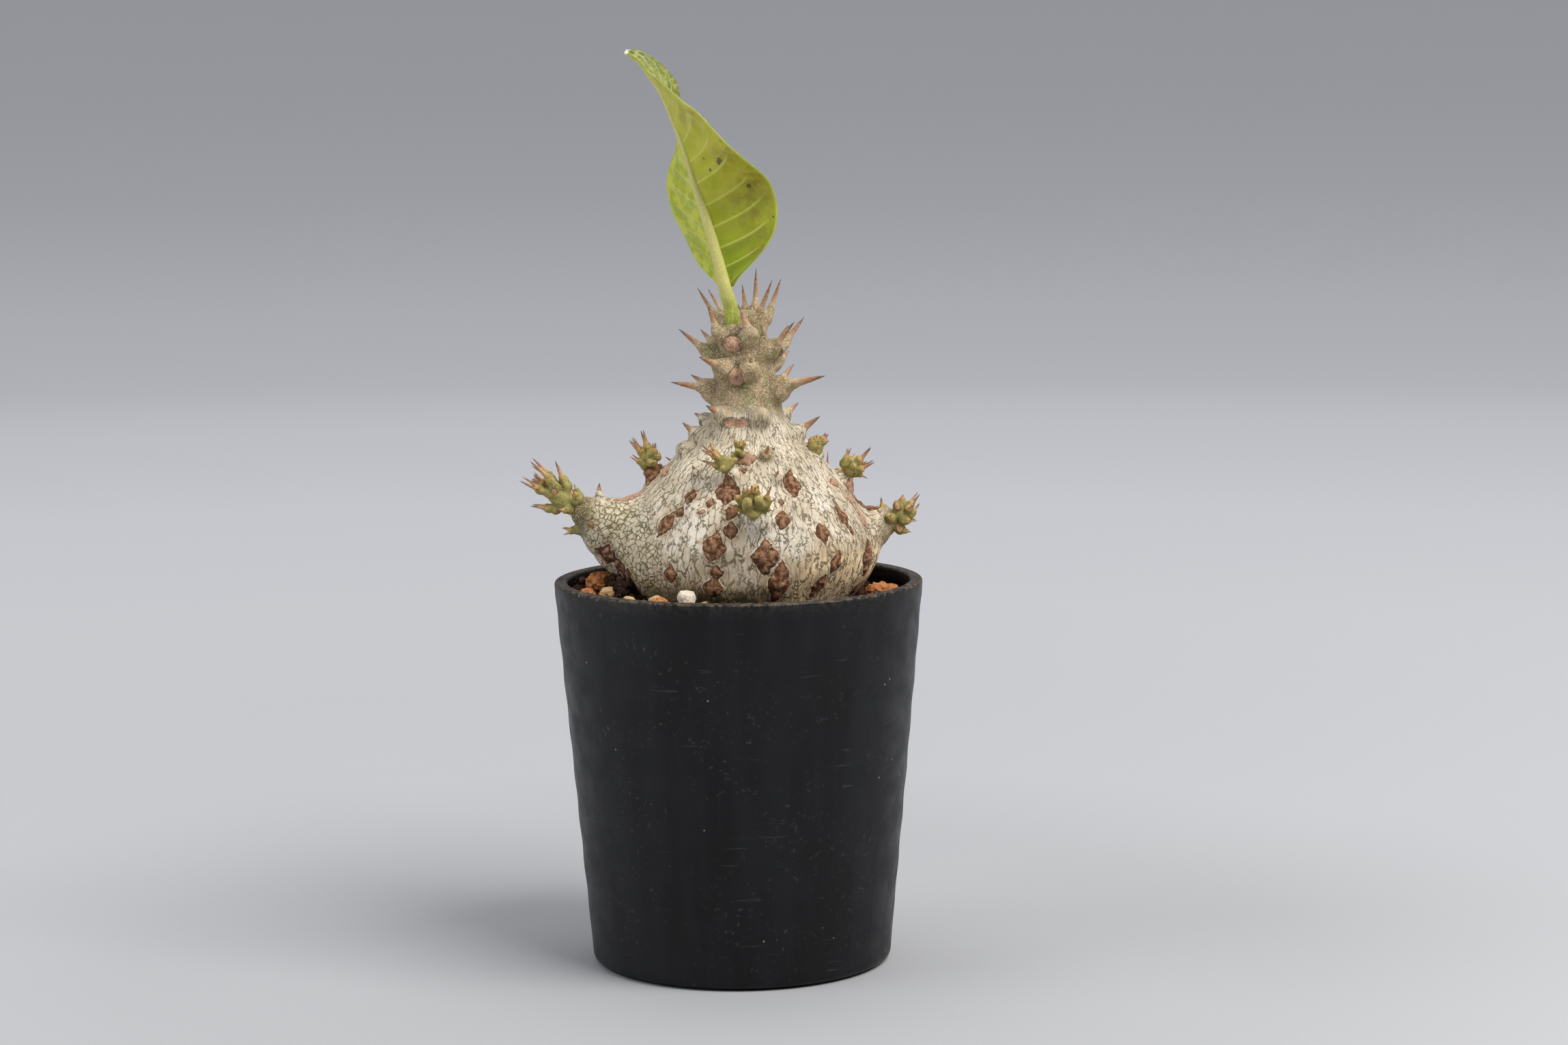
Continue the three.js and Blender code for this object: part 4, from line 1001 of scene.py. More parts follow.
def leaf_look():
    k = Look("leaf_skin")
    names = ("across", "along", "vein", "upper", "stalk", "rib", "stain", "spot")
    across, along, vein, upper, stalk, rib, stain, spot = (k.value(n) for n in names)
    right = across.step(-0.02, 0.02)
    under = right * (1 - upper)
    veins = k.math("PINGPONG", vein, 0.5).step(0.0, 0.1, 1, 0) * abs(across).step(0.9, 0.7)
    hairs = k.noise(0.3, 3, 0.7, place=k.stretched(1, 1, 0.5))
    warm = k.mix(k.noise(5, 3).step(0.36, 0.64), rgb(166, 168, 30), rgb(184, 180, 52))
    warm = warm.coated((rgb(110, 132, 8), along.step(0.05, 0.5, 1, 0) * 0.8))
    top = k.mix(k.noise(1.1, 4, 0.65).step(0.42, 0.62), rgb(90, 98, 38), rgb(140, 142, 78))
    top = top.coated((rgb(176, 188, 132), veins * 0.5))
    colour = k.mix(k.noise(3, 3).step(0.4, 0.6), rgb(186, 190, 58), rgb(152, 164, 30)).coated(
        (warm, right),
        (rgb(132, 110, 52), stain * k.noise(1.8, 5, 0.65).step(0.36, 0.62) * under * 0.72),
        (rgb(78, 60, 38), (spot + k.noise(0.9, 3) * 1.1).step(0.95, 1.2, 0.85, 0) * under),
        (rgb(220, 218, 130), k.cells(0.5).step(0.15, 0.32, 1, 0) * right.step(0, 1, 0.4, 0.1)),
        (rgb(194, 198, 92), veins * 0.6),
        (rgb(176, 194, 76), abs(across).step(0.955, 0.985, 0, 0.7)),
        (top, upper * 0.88),
        (rgb(238, 232, 206), along.step(0.982, 0.994)),
        (k.mix(k.noise(1.2, 3), rgb(200, 192, 122), rgb(180, 178, 90)), rib),
        (k.mix(k.noise(1.5, 3), rgb(166, 172, 66), rgb(146, 158, 50)), stalk),
        (rgb(214, 212, 146), rib * hairs.step(0.52, 0.64, 0, 0.5)),
        (rgb(96, 116, 48), stalk * hairs.step(0.47, 0.38, 0, 0.4)),
    )
    k.set(Base_Color=colour, Roughness=k.noise(2).step(0.3, 0.7, 0.36, 0.5), Specular_IOR_Level=0.35)
    k.set(Subsurface_Weight=0.05, Subsurface_Scale=0.001)
    k.set(Normal=k.bump(veins, 0.12, 0.5, k.bump(k.noise(0.35, 3), 0.05, 0.35)))
    return k.material


def pot_look():
    k = Look("pot_skin")
    edge, inner = k.value("edge"), k.value("inner")
    swirl = k.noise(6, 4, 0.6, place=k.stretched(1, 1, 0.18))
    scratch = k.noise(0.8, 2, 0.5, place=k.stretched(0.08, 0.08, 1.2), bend=0.4).step(0.66, 0.72)
    worn = edge * k.noise(1.1, 5, 0.7).step(0.42, 0.62)
    colour = k.mix(swirl.step(0.35, 0.65), rgb(13, 13, 15), rgb(20, 21, 24)).coated(
        (rgb(104, 100, 96), k.noise(1.2, 5, 0.7).step(0.58, 0.72) * k.noise(14, 2).step(0.4, 0.6) * 0.35),
        (rgb(112, 112, 114), scratch * k.noise(10, 2).step(0.5, 0.62) * 0.12),
        (rgb(136, 120, 98), worn * 0.4),
        (rgb(170, 150, 122), k.cells(4.2).step(0.03, 0.06, 1, 0) * k.noise(6).step(0.5, 0.56) * 0.8),
        (rgb(70, 58, 46), inner * k.noise(1.5, 4).step(0.5, 0.7, 0, 0.6)),
    )
    k.set(Base_Color=colour, Specular_IOR_Level=0.22)
    k.set(Roughness=k.noise(5, 4).step(0.3, 0.7, 0.36, 0.5) + worn * 0.2)
    k.set(Normal=k.bump(k.noise(0.3, 3), 0.02, 0.5, k.bump(swirl, 0.12, 0.4)))
    return k.material


def soil_look():
    k = Look("soil_crumb")
    colour = k.shades(
        k.value("tone"), (0, rgb(40, 27, 20)), (0.3, rgb(70, 46, 33)), (0.5, rgb(98, 64, 44)),
        (0.68, rgb(128, 84, 54)), (0.82, rgb(166, 120, 76)), (0.92, rgb(196, 160, 112)),
        (1, rgb(222, 206, 180)),
    ).coated(
        (rgb(44, 30, 22), k.noise(0.6, 4, 0.65).step(0.38, 0.64, 0, 0.7)),
        (rgb(150, 110, 76), k.noise(0.4, 3).step(0.6, 0.72, 0, 0.5)),
    )
    k.set(Base_Color=colour, Roughness=k.noise(1).step(0.3, 0.7, 0.85, 0.97), Specular_IOR_Level=0.2)
    k.set(Normal=k.bump(k.noise(0.3, 5, 0.7), 0.3, 0.8))
    return k.material


def grain_look(name, pale, deep, dark):
    k = Look(name)
    pits = k.cells(0.55).step(0.08, 0.26, 1, 0)
    lit = [min(c + 34, 255) for c in pale]
    colour = k.mix(k.noise(1.2, 4).step(0.36, 0.64), rgb(*pale), rgb(*deep)).coated(
        (rgb(*dark), pits * k.noise(0.9).step(0.45, 0.6)),
        (rgb(*lit), k.noise(0.35, 3).step(0.58, 0.72, 0, 0.5)),
    )
    k.set(Base_Color=colour, Roughness=k.noise(0.7).step(0.3, 0.7, 0.8, 0.95), Specular_IOR_Level=0.25)
    k.set(Normal=k.bump(k.noise(0.3, 4, 0.7), 0.18, 0.8, k.bump(pits, -0.1, 0.6)))
    return k.material


def paper_look():
    k = Look("backdrop_paper")
    x, y, z = (k.node("SeparateXYZ", (k.place,), output=axis) for axis in range(3))
    away = k.math("SQRT", x * x + y * y) + z
    glow = [(at, (0.97 * g, 0.98 * g, 1.05 * g, 1)) for at, g in PAPER_GLOW]
    k.set(Base_Color=k.mix(k.noise(60, 2), (0.39, 0.397, 0.41, 1), (0.4, 0.403, 0.415, 1)))
    k.set(Emission_Color=k.shades(away * (1 / PAPER_REACH), *glow), Emission_Strength=1.0)
    k.set(Roughness=k.noise(40, 2).step(0.3, 0.7, 0.88, 0.94), Specular_IOR_Level=0.1)
    k.set(Normal=k.bump(k.noise(1.5, 3), 0.05, 0.2))
    return k.material


# Bark


def growth_place(points):
    """Where a point lies in the bark's own grain, with lengths along the growth drawn together."""
    z = points[:, 2]
    x, y = points[:, 0] - lean(z), points[:, 1] / TRUNK_DEPTH
    turn, rho = np.arctan2(x, -y), np.hypot(x, y)
    thin = np.maximum(rho, 0.5) / 25
    across, deep = 22 * thin ** (0.9 * np.abs(np.cos(turn))), 22 * thin ** (0.9 * np.abs(np.sin(turn)))
    path = np.r_[0, np.cumsum(np.linalg.norm(np.diff(outline, axis=0), axis=1))]
    run = np.interp(z, outline[:, 1], path) - np.interp(86, outline[:, 1], path)
    trunk = np.stack([across * np.sin(turn), -deep * np.cos(turn), 86 + 0.28 * run], 1)
    sides = []
    for branch in (LEFT_BRANCH, RIGHT_BRANCH):
        ends = np.array(branch)[:, :3]
        ahead = unit(ends[-1] - ends[1])
        start = ends[1]
        run = (points - start) @ ahead
        sides.append((branch_distance(points, branch), points - 0.55 * run[:, None] * ahead, ahead))
    left = sides[0][0] < sides[1][0]
    near = np.where(left, sides[0][0], sides[1][0])
    share = smooth(trunk_distance(points) - near, -1.5, 5)
    own = np.where(left[:, None], sides[0][1], sides[1][1])
    ahead = np.where(left[:, None], sides[0][2], sides[1][2])
    return trunk * (1 - share[:, None]) + own * share[:, None], share, ahead


def spot_distance(points, normals, place, width, height, turn, growth, ragged=0.15, power=1.12):
    """Signed distance, in millimetres along the surface, to a ragged diamond on it, and who is near."""
    place = np.asarray(place, float)
    near = np.flatnonzero(np.linalg.norm(points - place, axis=1) < max(width, height) * 0.9 + 1.5)
    if not len(near):
        return near, np.zeros(0), np.zeros(0)
    p = points[near] - place
    centre = near[np.argmin((p * p).sum(1))]
    out = unit(normals[near][np.linalg.norm(points[near] - points[centre], axis=1) < 2].mean(0))
    up = unit(growth[centre] - out * (growth[centre] @ out))
    side = np.cross(up, out)
    t = math.radians(turn)
    up, side = up * math.cos(t) + side * math.sin(t), side * math.cos(t) - up * math.sin(t)
    u, v = np.abs(p @ side) / (width / 2), np.abs(p @ up) / (height / 2)
    r = (u**power + v**power) ** (1 / power)
    r = r + ragged * (noise(points[near], 1.3, 7) + 0.5 * noise(points[near], 0.6, 8)) * np.minimum(r, 1.3)
    facing = normals[near] @ out
    r = np.where(facing < 0.1, 9, r)
    return near, (r - 1) * min(width, height) / 2, r


def hidden_patches():
    h = HIDDEN_PATCHES
    draw = np.random.default_rng(h["seed"])
    for i in range(h["count"]):
        azimuth = h["from"] + (i * GOLDEN_ANGLE) % (h["to"] - h["from"])
        z = h["bottom"] + (h["top"] - h["bottom"]) * draw.random()
        place = about_trunk(azimuth, z, trunk_radius(z))
        width = draw.uniform(1.6, 4.2)
        yield [*place, width, width * draw.uniform(1, 1.7), draw.uniform(-20, 20), draw.uniform(0.1, 0.7)]


YOUNG_CUSHION = NUBS[1][1]  # a downy cushion, low on the front
NOWHERE = 2.0  # stands for far away in the distances to patches and scars

normals = normals_of(bark_points, bark_quads)
grain, on_branch, branch_ahead = growth_place(bark_points)
growth = np.where(on_branch[:, None] > 0.5, branch_ahead, [0, 0, 1.0])
sideways, height = bark_points[:, 0], bark_points[:, 2]
branch_end = smooth(-sideways - 0.27 * (96.4 - height), 27.6, 29.8)
branch_end = np.maximum(branch_end, smooth(sideways, 28.4, 30.2) * 0.8)
young = np.maximum(smooth(height + 1.2 * noise(bark_points, 3), 108.5, 116), branch_end)
young = np.maximum(young, smooth(np.linalg.norm(bark_points - YOUNG_CUSHION, axis=1), 2.4, 1.2))

count = len(bark_points)
patch = np.full(count, NOWHERE)
tone = np.zeros(count)
bulge = np.zeros(count)
tone_weight = np.full(count, 1e-6)
for x, y, z, width, tall, turn, depth in PATCHES + list(hidden_patches()):
    near, away, r = spot_distance(
        bark_points, normals, (x, y, z), PATCH_GROWTH * width, PATCH_GROWTH * tall, turn, growth
    )
    patch[near] = np.minimum(patch[near], away)
    weight = np.exp(-2 * np.maximum(r, 0) ** 2)
    tone[near] += weight * depth
    tone_weight[near] += weight
    bulge[near] = np.maximum(bulge[near], np.clip(1 - r, 0, 1) * (0.25 + max(width - 2.2, 0) * 0.36))
for name in TORN_AT_FOOT:
    away = np.linalg.norm(bark_points - sprout_place(name), axis=1) - COLLAR * SPROUTS[name][-1]
    near = np.flatnonzero(away < 2)
    patch[near] = np.minimum(patch[near], away[near] + 0.9 * noise(bark_points[near], 1.7, 19))
    weight = 0.4 * np.exp(-np.maximum(away[near], 0))
    tone[near] += weight * 0.2
    tone_weight[near] += weight
tone = tone / tone_weight
scar, pit = np.full(count, NOWHERE), np.zeros(count)
for x, y, z, width, tall in SCARS:
    near, away, _ = spot_distance(
        bark_points, normals, (x, y, z), width, tall, 0, growth, ragged=0.06, power=2
    )
    scar[near] = np.minimum(scar[near], away)
    if z < SMOOTH_SCARS_FROM:
        centre = np.linalg.norm(bark_points[near] - [x, y, z], axis=1)
        bulge[near] -= 0.4 * bell(centre, 0.5)
        pit[near] = np.maximum(pit[near], bell(centre, 0.95))
patch = np.clip(patch + 3 * young * (patch < NOWHERE) * (height > 104), -NOWHERE, NOWHERE)

# The bark's relief in millimetres: ridges, patches, their torn rims, scars and down
inside = smooth(patch, 0.05, -0.3)
rough = noise(bark_points, 1.3, 11) + 0.7 * noise(bark_points, 0.8, 12)
old = 1 - young
relief = old * (0.11 * noise(grain, 1.8, 13) + 0.06 * noise(grain, 0.9, 14))
relief += inside * (0.1 + 0.3 * rough) + bulge - 0.07 * bell(patch + 0.05, 0.2) * old
torn = smooth(noise(bark_points, 1.5, 17), -0.2, 0.3)
relief += 0.12 * bell(patch - 0.35, 0.25) * old * torn
relief += -0.26 * smooth(scar, 0.1, -0.3) + 0.16 * bell(scar - 0.3, 0.3)
relief += 0.06 * young * noise(bark_points, 1.4, 15)
relief *= smooth(height, SHOWN_FROM + 0.2, SHOWN_FROM + 1.5)
# How hollow the bark is at each vertex, which its material paints as shade in hollows and as highlight on
# bulges
hollow = bark_mesh.hollow(bark_points, normals, 14)
# How far the relief stands above its neighbourhood, for the painted shade and highlight on the cork
ridge = 4 * (relief - bark_mesh.blurred(relief, 5))
# Dark olive low on the trunk near the soil, mostly at the front and a little on the right
foot_olive = smooth(height, 81, 76.5) * smooth(np.abs(sideways + 5), 15, 4)
foot_olive = np.maximum(foot_olive, 0.2 * smooth(height, 79, 75.5) * smooth(sideways, 14, 6))
ochre = 0.7 * smooth(height, 90, 76) * (0.8 + 0.5 * noise(bark_points, 4, 16))
# The straw reaches up the right of the foot, where its paler colour also carries painted light
ochre = np.maximum(ochre, smooth(sideways + 0.8 * (84 - height), 8, 16) * smooth(height, 91, 83))
green = smooth(-sideways + 0.3 * (90 - height), 14, 20) * smooth(height, 98, 93)
green = np.maximum(green, branch_end)
bark_points = bark_points + relief[:, None] * normals

low_part = [[r, z] for r, z in outline[outline[:, 1] < SHOWN_FROM + 0.6][::6]]
low_part = [[0, TRUNK[0][1]]] + low_part + [[0, SHOWN_FROM + 0.6]]
root_points, root_quads = turned([[max(r, 0.01), z] for r, z in low_part], 96)
root_points[:, 0] += lean(root_points[:, 2])
root_points[:, 1] *= TRUNK_DEPTH
fields = {
    "young": young, "tone": tone, "patch": patch, "hollow": hollow, "ochre": np.clip(ochre, 0, 1),
    "green": np.clip(green, 0, 1), "ridge": ridge, "foot_olive": foot_olive, "scar": scar, "pit": pit,
}
for key in fields:
    fill = NOWHERE if key in ("patch", "scar") else 0.3
    fields[key] = np.r_[fields[key], np.full(len(root_points), fill)]
bark = make_mesh(
    "caudex_bark",
    np.vstack([bark_points, root_points]),
    [bark_quads, root_quads + len(bark_points)],
    fields,
)
held = bark.data.attributes.new("grain", "FLOAT_VECTOR", "POINT")
held.data.foreach_set("vector", np.vstack([grain, root_points]).astype(np.float32).ravel())
dress(bark, bark_look(), "bark", "caudex")

spine_material = spine_look()
dress(make_mesh("stem_spines", *joined(stem_spines)), spine_material, "bark", "caudex")


# Shoots


def turned_about(v, axis, degrees):
    t = math.radians(degrees)
    return v * math.cos(t) + np.cross(axis, v) * math.sin(t) + axis * (v @ axis) * (1 - math.cos(t))


def sprout_shapes(name, reach):
    """Knobs and spines of a shoot that the photo doesn't show, set by the golden angle."""
    aim, rise, length, radius = SPROUTS[name][2:]
    root, ahead = sprout_place(name), heading(aim, rise)
    side = unit(np.cross(ahead, [0, 0, 1]))
    levels = ((-0.1, 1), (0.4, 1), (0.8, 0.75), (1, 0.5))
    stem = [[*(root + ahead * length * t), radius * r] for t, r in levels]
    knobs, spines = [], []
    for i in range(HIDDEN_KNOBS):
        share = (i + 0.5) / HIDDEN_KNOBS
        out = turned_about(side, ahead, i * GOLDEN_ANGLE)
        level = root + ahead * length * (0.26 + 0.66 * share)
        top = level + out * radius * (1.25 - 0.6 * share**2) + ahead * 0.3 * radius
        aimed = unit(out + ahead * (0.3 + 1.1 * share))
        knobs.append([*(level + 0.5 * (top - level)), radius * 0.5, *top, radius * 0.33])
        spike = max(reach * (0.66 + 0.34 * math.sin(7 * i + 1)), 1)
        spines.append([*top, *(top + aimed * spike), 0.42])
    return {"stem": stem, "knobs": knobs, "spines": spines}


HIDDEN_KNOBS = 7  # on each shoot behind
HIDDEN_REACH = {"shoot_back_left": 4.6, "shoot_back_right": 4.4, "shoot_back": 4.6}  # of their spines
CORE = 0.74  # a shoot's core against its measured width, so that the knobs stand out of it
HEAD_ON = ("shoot_front", "bud_front")  # these point at the camera, so all their knobs are measured
shoot_material = shoot_look()


def behind(point, start, ahead):
    """The point's place on the far side of a shoot that is seen from the front."""
    x, y, z = point
    middle = start + ahead * ((np.array(point) - start) @ ahead)
    return [0.9 * x + 0.1 * middle[0], middle[1] + abs(y - middle[1]) + 0.8, z]


def grow_shoot(name, shape):
    stem = np.array(shape["stem"], float)
    start, length = stem[0, :3], np.linalg.norm(stem[-1, :3] - stem[0, :3])
    ahead = unit(stem[-1, :3] - start)
    knobs, spines = list(shape["knobs"]), list(shape["spines"])
    if name in SHOOTS and name not in HEAD_ON:
        knobs += [[*behind(k[:3], start, ahead), k[3], *behind(k[4:7], start, ahead), k[7]] for k in knobs]
        spines += [[*behind(s[:3], start, ahead), *behind(s[3:6], start, ahead), s[6]] for s in spines]
    ends = np.vstack([stem[:, :3]] + [np.array([k[:3], k[4:7]]) for k in knobs])
    flesh = Growth(ends.min(0) - 3.4, ends.max(0) + 3.4, 0.2)
    for a, b in zip(stem[:-1], stem[1:]):
        flesh.cone(a[:3], b[:3], CORE * a[3], CORE * b[3], 0.8)
    tips = []
    for k in knobs:
        inner, outer = np.array(k[:3]), np.array(k[4:7])
        on_stem = start + ahead * min(max((inner - start) @ ahead - 0.6, 0), length)
        flesh.cone(on_stem, inner, k[3] * 0.8, k[3] * 0.92, 0.35)
        flesh.cone(inner, outer, k[3] * 0.92, k[7] * 0.9, 0.25)
        tips.append((inner, outer, k[7], 0.45))
    drawn = []
    heads = np.array([k[4:7] for k in knobs])
    for *place, radius in spines:
        a, b = np.array(place[:3]), np.array(place[3:])
        foot = heads[np.argmin(np.linalg.norm(heads - a, axis=1))]
        neck = a + 0.22 * (b - a)
        flesh.cone(foot, a, radius * 1.5, radius * 1.15, 0.4)
        flesh.cone(a, neck, radius * 1.15, radius * 0.6, 0.25)
        tips.append((foot, neck, radius, 1))
        drawn.append(spine_mesh(a, neck, b, radius * 0.72))
    points, quads = flesh.surface()
    mesh = Mesh(points, quads)
    out = normals_of(points, quads)
    tip = np.zeros(len(points))
    for inner, outer, radius, most in tips:
        line = outer - inner
        t = (points - inner) @ line / max(line @ line, 1e-6)
        off = np.linalg.norm(points - inner - np.clip(t, 0, 1.2)[:, None] * line, axis=1)
        tip = np.maximum(tip, most * smooth(t, 0.1, 1) * smooth(off, radius * 2.2, radius * 1.2))
    values = {
        "hollow": mesh.hollow(points, out, 11),
        "tip": tip,
        "base": smooth((points - start) @ ahead, 0.32 * length, -0.1 * length),
        "scar": np.full(len(points), NOWHERE),
    }
    up = np.tile([0, 0, 1.0], (len(points), 1))
    for x, y, z, half_width, half_tall in shape.get("scars", []):
        near, away, _ = spot_distance(
            points, out, (x, y, z), 2 * half_width, 2 * half_tall, 0, up, ragged=0.08, power=2
        )
        values["scar"][near] = np.minimum(values["scar"][near], away)
    lumpy = 0.09 * noise(points, 1, 21) + 0.05 * noise(points, 0.5, 22)
    lumpy -= 0.12 * smooth(values["scar"], 0.1, -0.2)
    made = make_mesh(name + "_flesh", points + lumpy[:, None] * out, [quads], values)
    dress(made, shoot_material, "green_shoot", name)
    dress(make_mesh(name + "_spines", *joined(drawn)), spine_material, "green_shoot", name)


for name, shape in SHOOTS.items():
    grow_shoot(name, shape)
for name, reach in HIDDEN_REACH.items():
    grow_shoot(name, sprout_shapes(name, reach))


# Leaf

midrib = even_spline(MIDRIB, 500)
midrib_ahead = unit(np.gradient(midrib, axis=0))


def easy(points, x):
    """Like between, with the corners rounded off."""
    wide = np.linspace(-0.05, 0.05, 9)
    return np.mean([between(points, np.clip(x + w, 0, 1)) for w in wide], axis=0)


def blade_point(u, t, off):
    """A point of the blade: u from -1 to 1 across, t from 0 to 1 along, and off its middle sheet."""
    along = (BLADE_FROM + (1 - BLADE_FROM) * t) * (len(midrib) - 1)
    low = np.minimum(along.astype(int), len(midrib) - 2)
    part = (along - low)[..., None]
    point = midrib[low] * (1 - part) + midrib[low + 1] * part
    ahead = unit(midrib_ahead[low] * (1 - part) + midrib_ahead[low + 1] * part)
    right = unit(np.cross([0, 1.0, 0], ahead))
    behind = unit(np.cross(ahead, right))
    tip = smooth(t, 0.93, 1)
    width = np.abs(u) * (easy(BLADE_WIDTH, t) * (1 - tip) + between(BLADE_WIDTH, t) * tip)
    halves = easy(RIGHT_HALF, t), easy(LEFT_HALF, t)
    angle, middle = np.radians(np.where(u > 0, *halves)), np.radians(sum(halves) / 2)
    across, face, fold = (
        np.cos(a)[..., None] * right + np.sin(a)[..., None] * behind
        for a in (angle, angle + np.pi / 2 * np.sign(u), middle)
    )
    share = smooth(np.abs(u), 0, 0.12)[..., None]
    out = unit(share * face + (1 - share) * fold)
    return point + across * width[..., None] + out * off[..., None]


columns, rows = ((104, 180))
u = np.linspace(-1, 1, 2 * columns + 1)
t = np.linspace(0, 1, rows + 1)
u, t = np.meshgrid(u, t)
rise = np.where(u > 0, 0.03 * np.abs(u) + 0.05 * np.abs(u) ** 4, 0.17 * np.abs(u))
vein = VEINS * (t * 1.04 - rise + 0.012 * np.sin(9 * t))
ridge = np.abs((vein + 0.5) % 1 - 0.5)
swell = 0.35 * smooth(ridge, 0.0, 0.5) * smooth(np.abs(u), 0, 0.2) * smooth(np.abs(u), 1, 0.75)
flat = np.stack([u * 12, t * 50, 0 * t], -1).reshape(-1, 3)
wave = (0.25 * noise(flat, 6, 31) + 0.12 * noise(flat, 2.2, 32)).reshape(u.shape)
wave = wave * smooth(np.abs(u), 0, 0.3)
half_thick = 0.26 - 0.1 * np.abs(u) ** 3
sheets = [blade_point(u, t, sign * half_thick + wave + swell * 0.9) for sign in (-1, 1)]
leaf_points = np.concatenate(sheets).reshape(-1, 3)
layer, wide = u.size, 2 * columns + 1
index = np.arange(layer).reshape(rows + 1, wide)
corners = [index[:-1, :-1], index[:-1, 1:], index[1:, 1:], index[1:, :-1]]
front = np.stack(corners, -1).reshape(-1, 4)
back = front[:, ::-1] + layer
rim = np.r_[index[0], index[1:, -1], index[-1, -2::-1], index[-2:0:-1, 0]]
after = np.roll(rim, -1)
sides = np.stack([rim, rim + layer, after + layer, after], 1)
blade_values = {
    "across": np.tile(u.ravel(), 2), "along": np.tile(t.ravel(), 2), "vein": np.tile(vein.ravel(), 2),
    "upper": np.r_[np.zeros(layer), np.ones(layer)], "stalk": np.zeros(2 * layer),
    "rib": np.zeros(2 * layer),
}
from_front = leaf_points[:, [0, 2]]
spots = [np.linalg.norm(from_front - [x, z], axis=1) / radius for x, z, radius in LEAF_SPOTS]
blade_values["spot"] = np.min(spots, axis=0)
stains = [np.sum((from_front - [x, z]) ** 2, axis=1) / radius**2 for x, z, radius in LEAF_STAINS]
blade_values["stain"] = np.max(np.exp(-np.array(stains)), axis=0)
RIB_END, RIB_STEPS = 0.985, 240  # the stalk runs on as the rib, over this share of the blade
stalk_line = even_spline(STALK_FOOT + MIDRIB, RIB_STEPS)[: int(RIB_STEPS * RIB_END)]
share = np.linspace(0, RIB_END, len(stalk_line))
radii = STALK_RADIUS + (RIB_TIP_RADIUS - STALK_RADIUS) * np.clip((share - 0.14) / 0.86, 0, 1) ** 0.6
stalk_points, stalk_faces, stalk_along = tube(stalk_line, radii, 20)
stalk_values = {key: np.zeros(len(stalk_points)) for key in blade_values}
stalk_values |= {
    "stalk": smooth(stalk_along, 0.2, 0.06), "rib": np.ones(len(stalk_points)),
    "spot": np.full(len(stalk_points), 9.0), "along": stalk_along,
}
leaf = make_mesh(
    "leaf_blade",
    *joined([(leaf_points, [front, back, sides], blade_values), (stalk_points, stalk_faces, stalk_values)]),
)
dress(leaf, leaf_look(), "leaf_green", "leaf")


# Pot

WALL_FOOT, WALL_SLOPE, WALL_THICK = 30.5, 7 / 77.3, 1.4
RIPPLE, RIPPLE_LENGTH = 0.07, 9.5
FLOOR_TOP, FLOOR_CORNER = 5.2, 6.6  # the inside's flat floor, and where its wall starts
LIP = {"outer": 37, "inner": 35.4, "height": 78, "round": 0.5}
LIP_INNER = 34.9
NOTCHES = {"first": 61.5, "count": 3, "width": 10.6, "depth": 12, "height": 2.8, "radius": 28.6}
DRAINS = {"count": 5, "circle": 17, "radius": 3.2}


def wall_radius(z):
    return WALL_FOOT + WALL_SLOPE * z


def inside_radius(z):
    return wall_radius(z) - WALL_THICK


def arc(centre, radius, first, last, count):
    a = np.radians(np.linspace(first, last, count))
    return [[centre[0] + radius * math.cos(t), centre[1] + radius * math.sin(t)] for t in a]


wall = []
for z in np.arange(2.6, 76, 0.9):
    ripple = RIPPLE * math.sin(z * 2 * math.pi / RIPPLE_LENGTH + 1) * min(1, z / 20)
    wall.append([wall_radius(z) + ripple, z])
inner_wall = [[inside_radius(z), z] for z in (75.2, 60, 45, 30, 16, FLOOR_CORNER)]
pot_profile = [
    [0.01, 3.6], [26.1, 3.6], [26.45, 3.4], [26.6, 0.4], [26.8, 0], [28.6, 0], [28.9, 0.15],
    [wall_radius(0.35) - 0.7, 0.35], *arc((wall_radius(1.8) - 1.4, 1.75), 1.4, -70, 0, 6), *wall,
    *arc((LIP["outer"], LIP["height"]), LIP["round"], 0, 90, 6),
    [36.6, 78.42], [36.1, 78.38], [35.7, 78.44],
    *arc((LIP["inner"], LIP["height"]), LIP["round"], 90, 180, 6), [LIP_INNER, 76.4], [35.4, 75.5],
    *inner_wall, *arc((inside_radius(FLOOR_CORNER) - 1.4, FLOOR_CORNER), 1.4, -10, -90, 5),
    [0.01, FLOOR_TOP],
]
pot_points, pot_quads = turned(pot_profile, 256)
turn, out_of = around_axis(pot_points)
pot_height = pot_points[:, 2]
waves = 0.06 * noise(np.stack([6 * np.cos(turn), 6 * np.sin(turn), pot_height / 4], 1), 2.4, 41)
waves *= smooth(pot_height, 3, 8) * smooth(pot_height, 76.5, 74) * (out_of > 29)
pot_points[:, :2] *= (1 + waves / np.maximum(out_of, 1))[:, None]
edge = smooth(pot_height, 77.9, 78.25) * smooth(out_of, 34.8, 35.1)
inner = (out_of < wall_radius(pot_height) - 0.8) & (pot_height > 5)
pot = make_mesh(
    "pot_shell", pot_points, [pot_quads[:, ::-1]], {"edge": edge, "inner": inner.astype(float)}, sharp=40
)


def cut_away(made, cutter):
    """Takes the cutter's body out of a piece, and deletes the cutter."""
    change = made.modifiers.new("cut", "BOOLEAN")
    change.operation, change.object, change.solver = "DIFFERENCE", cutter, "EXACT"
    graph = bpy.context.evaluated_depsgraph_get()
    cut = bpy.data.meshes.new_from_object(made.evaluated_get(graph))
    made.modifiers.clear()
    made.data = cut
    bpy.data.objects.remove(cutter)


def block(middle, size, degrees):
    corners = np.array(list(itertools.product((-0.5, 0.5), repeat=3))) * size
    a = math.radians(degrees)
    across, out = np.array([math.cos(a), math.sin(a), 0]), heading(degrees)
    points = middle + corners[:, :1] * across + corners[:, 1:2] * out + corners[:, 2:] * [0, 0, 1]
    return points, [[[0, 1, 3, 2], [4, 6, 7, 5], [0, 4, 5, 1], [2, 3, 7, 6], [0, 2, 6, 4], [1, 5, 7, 3]]]


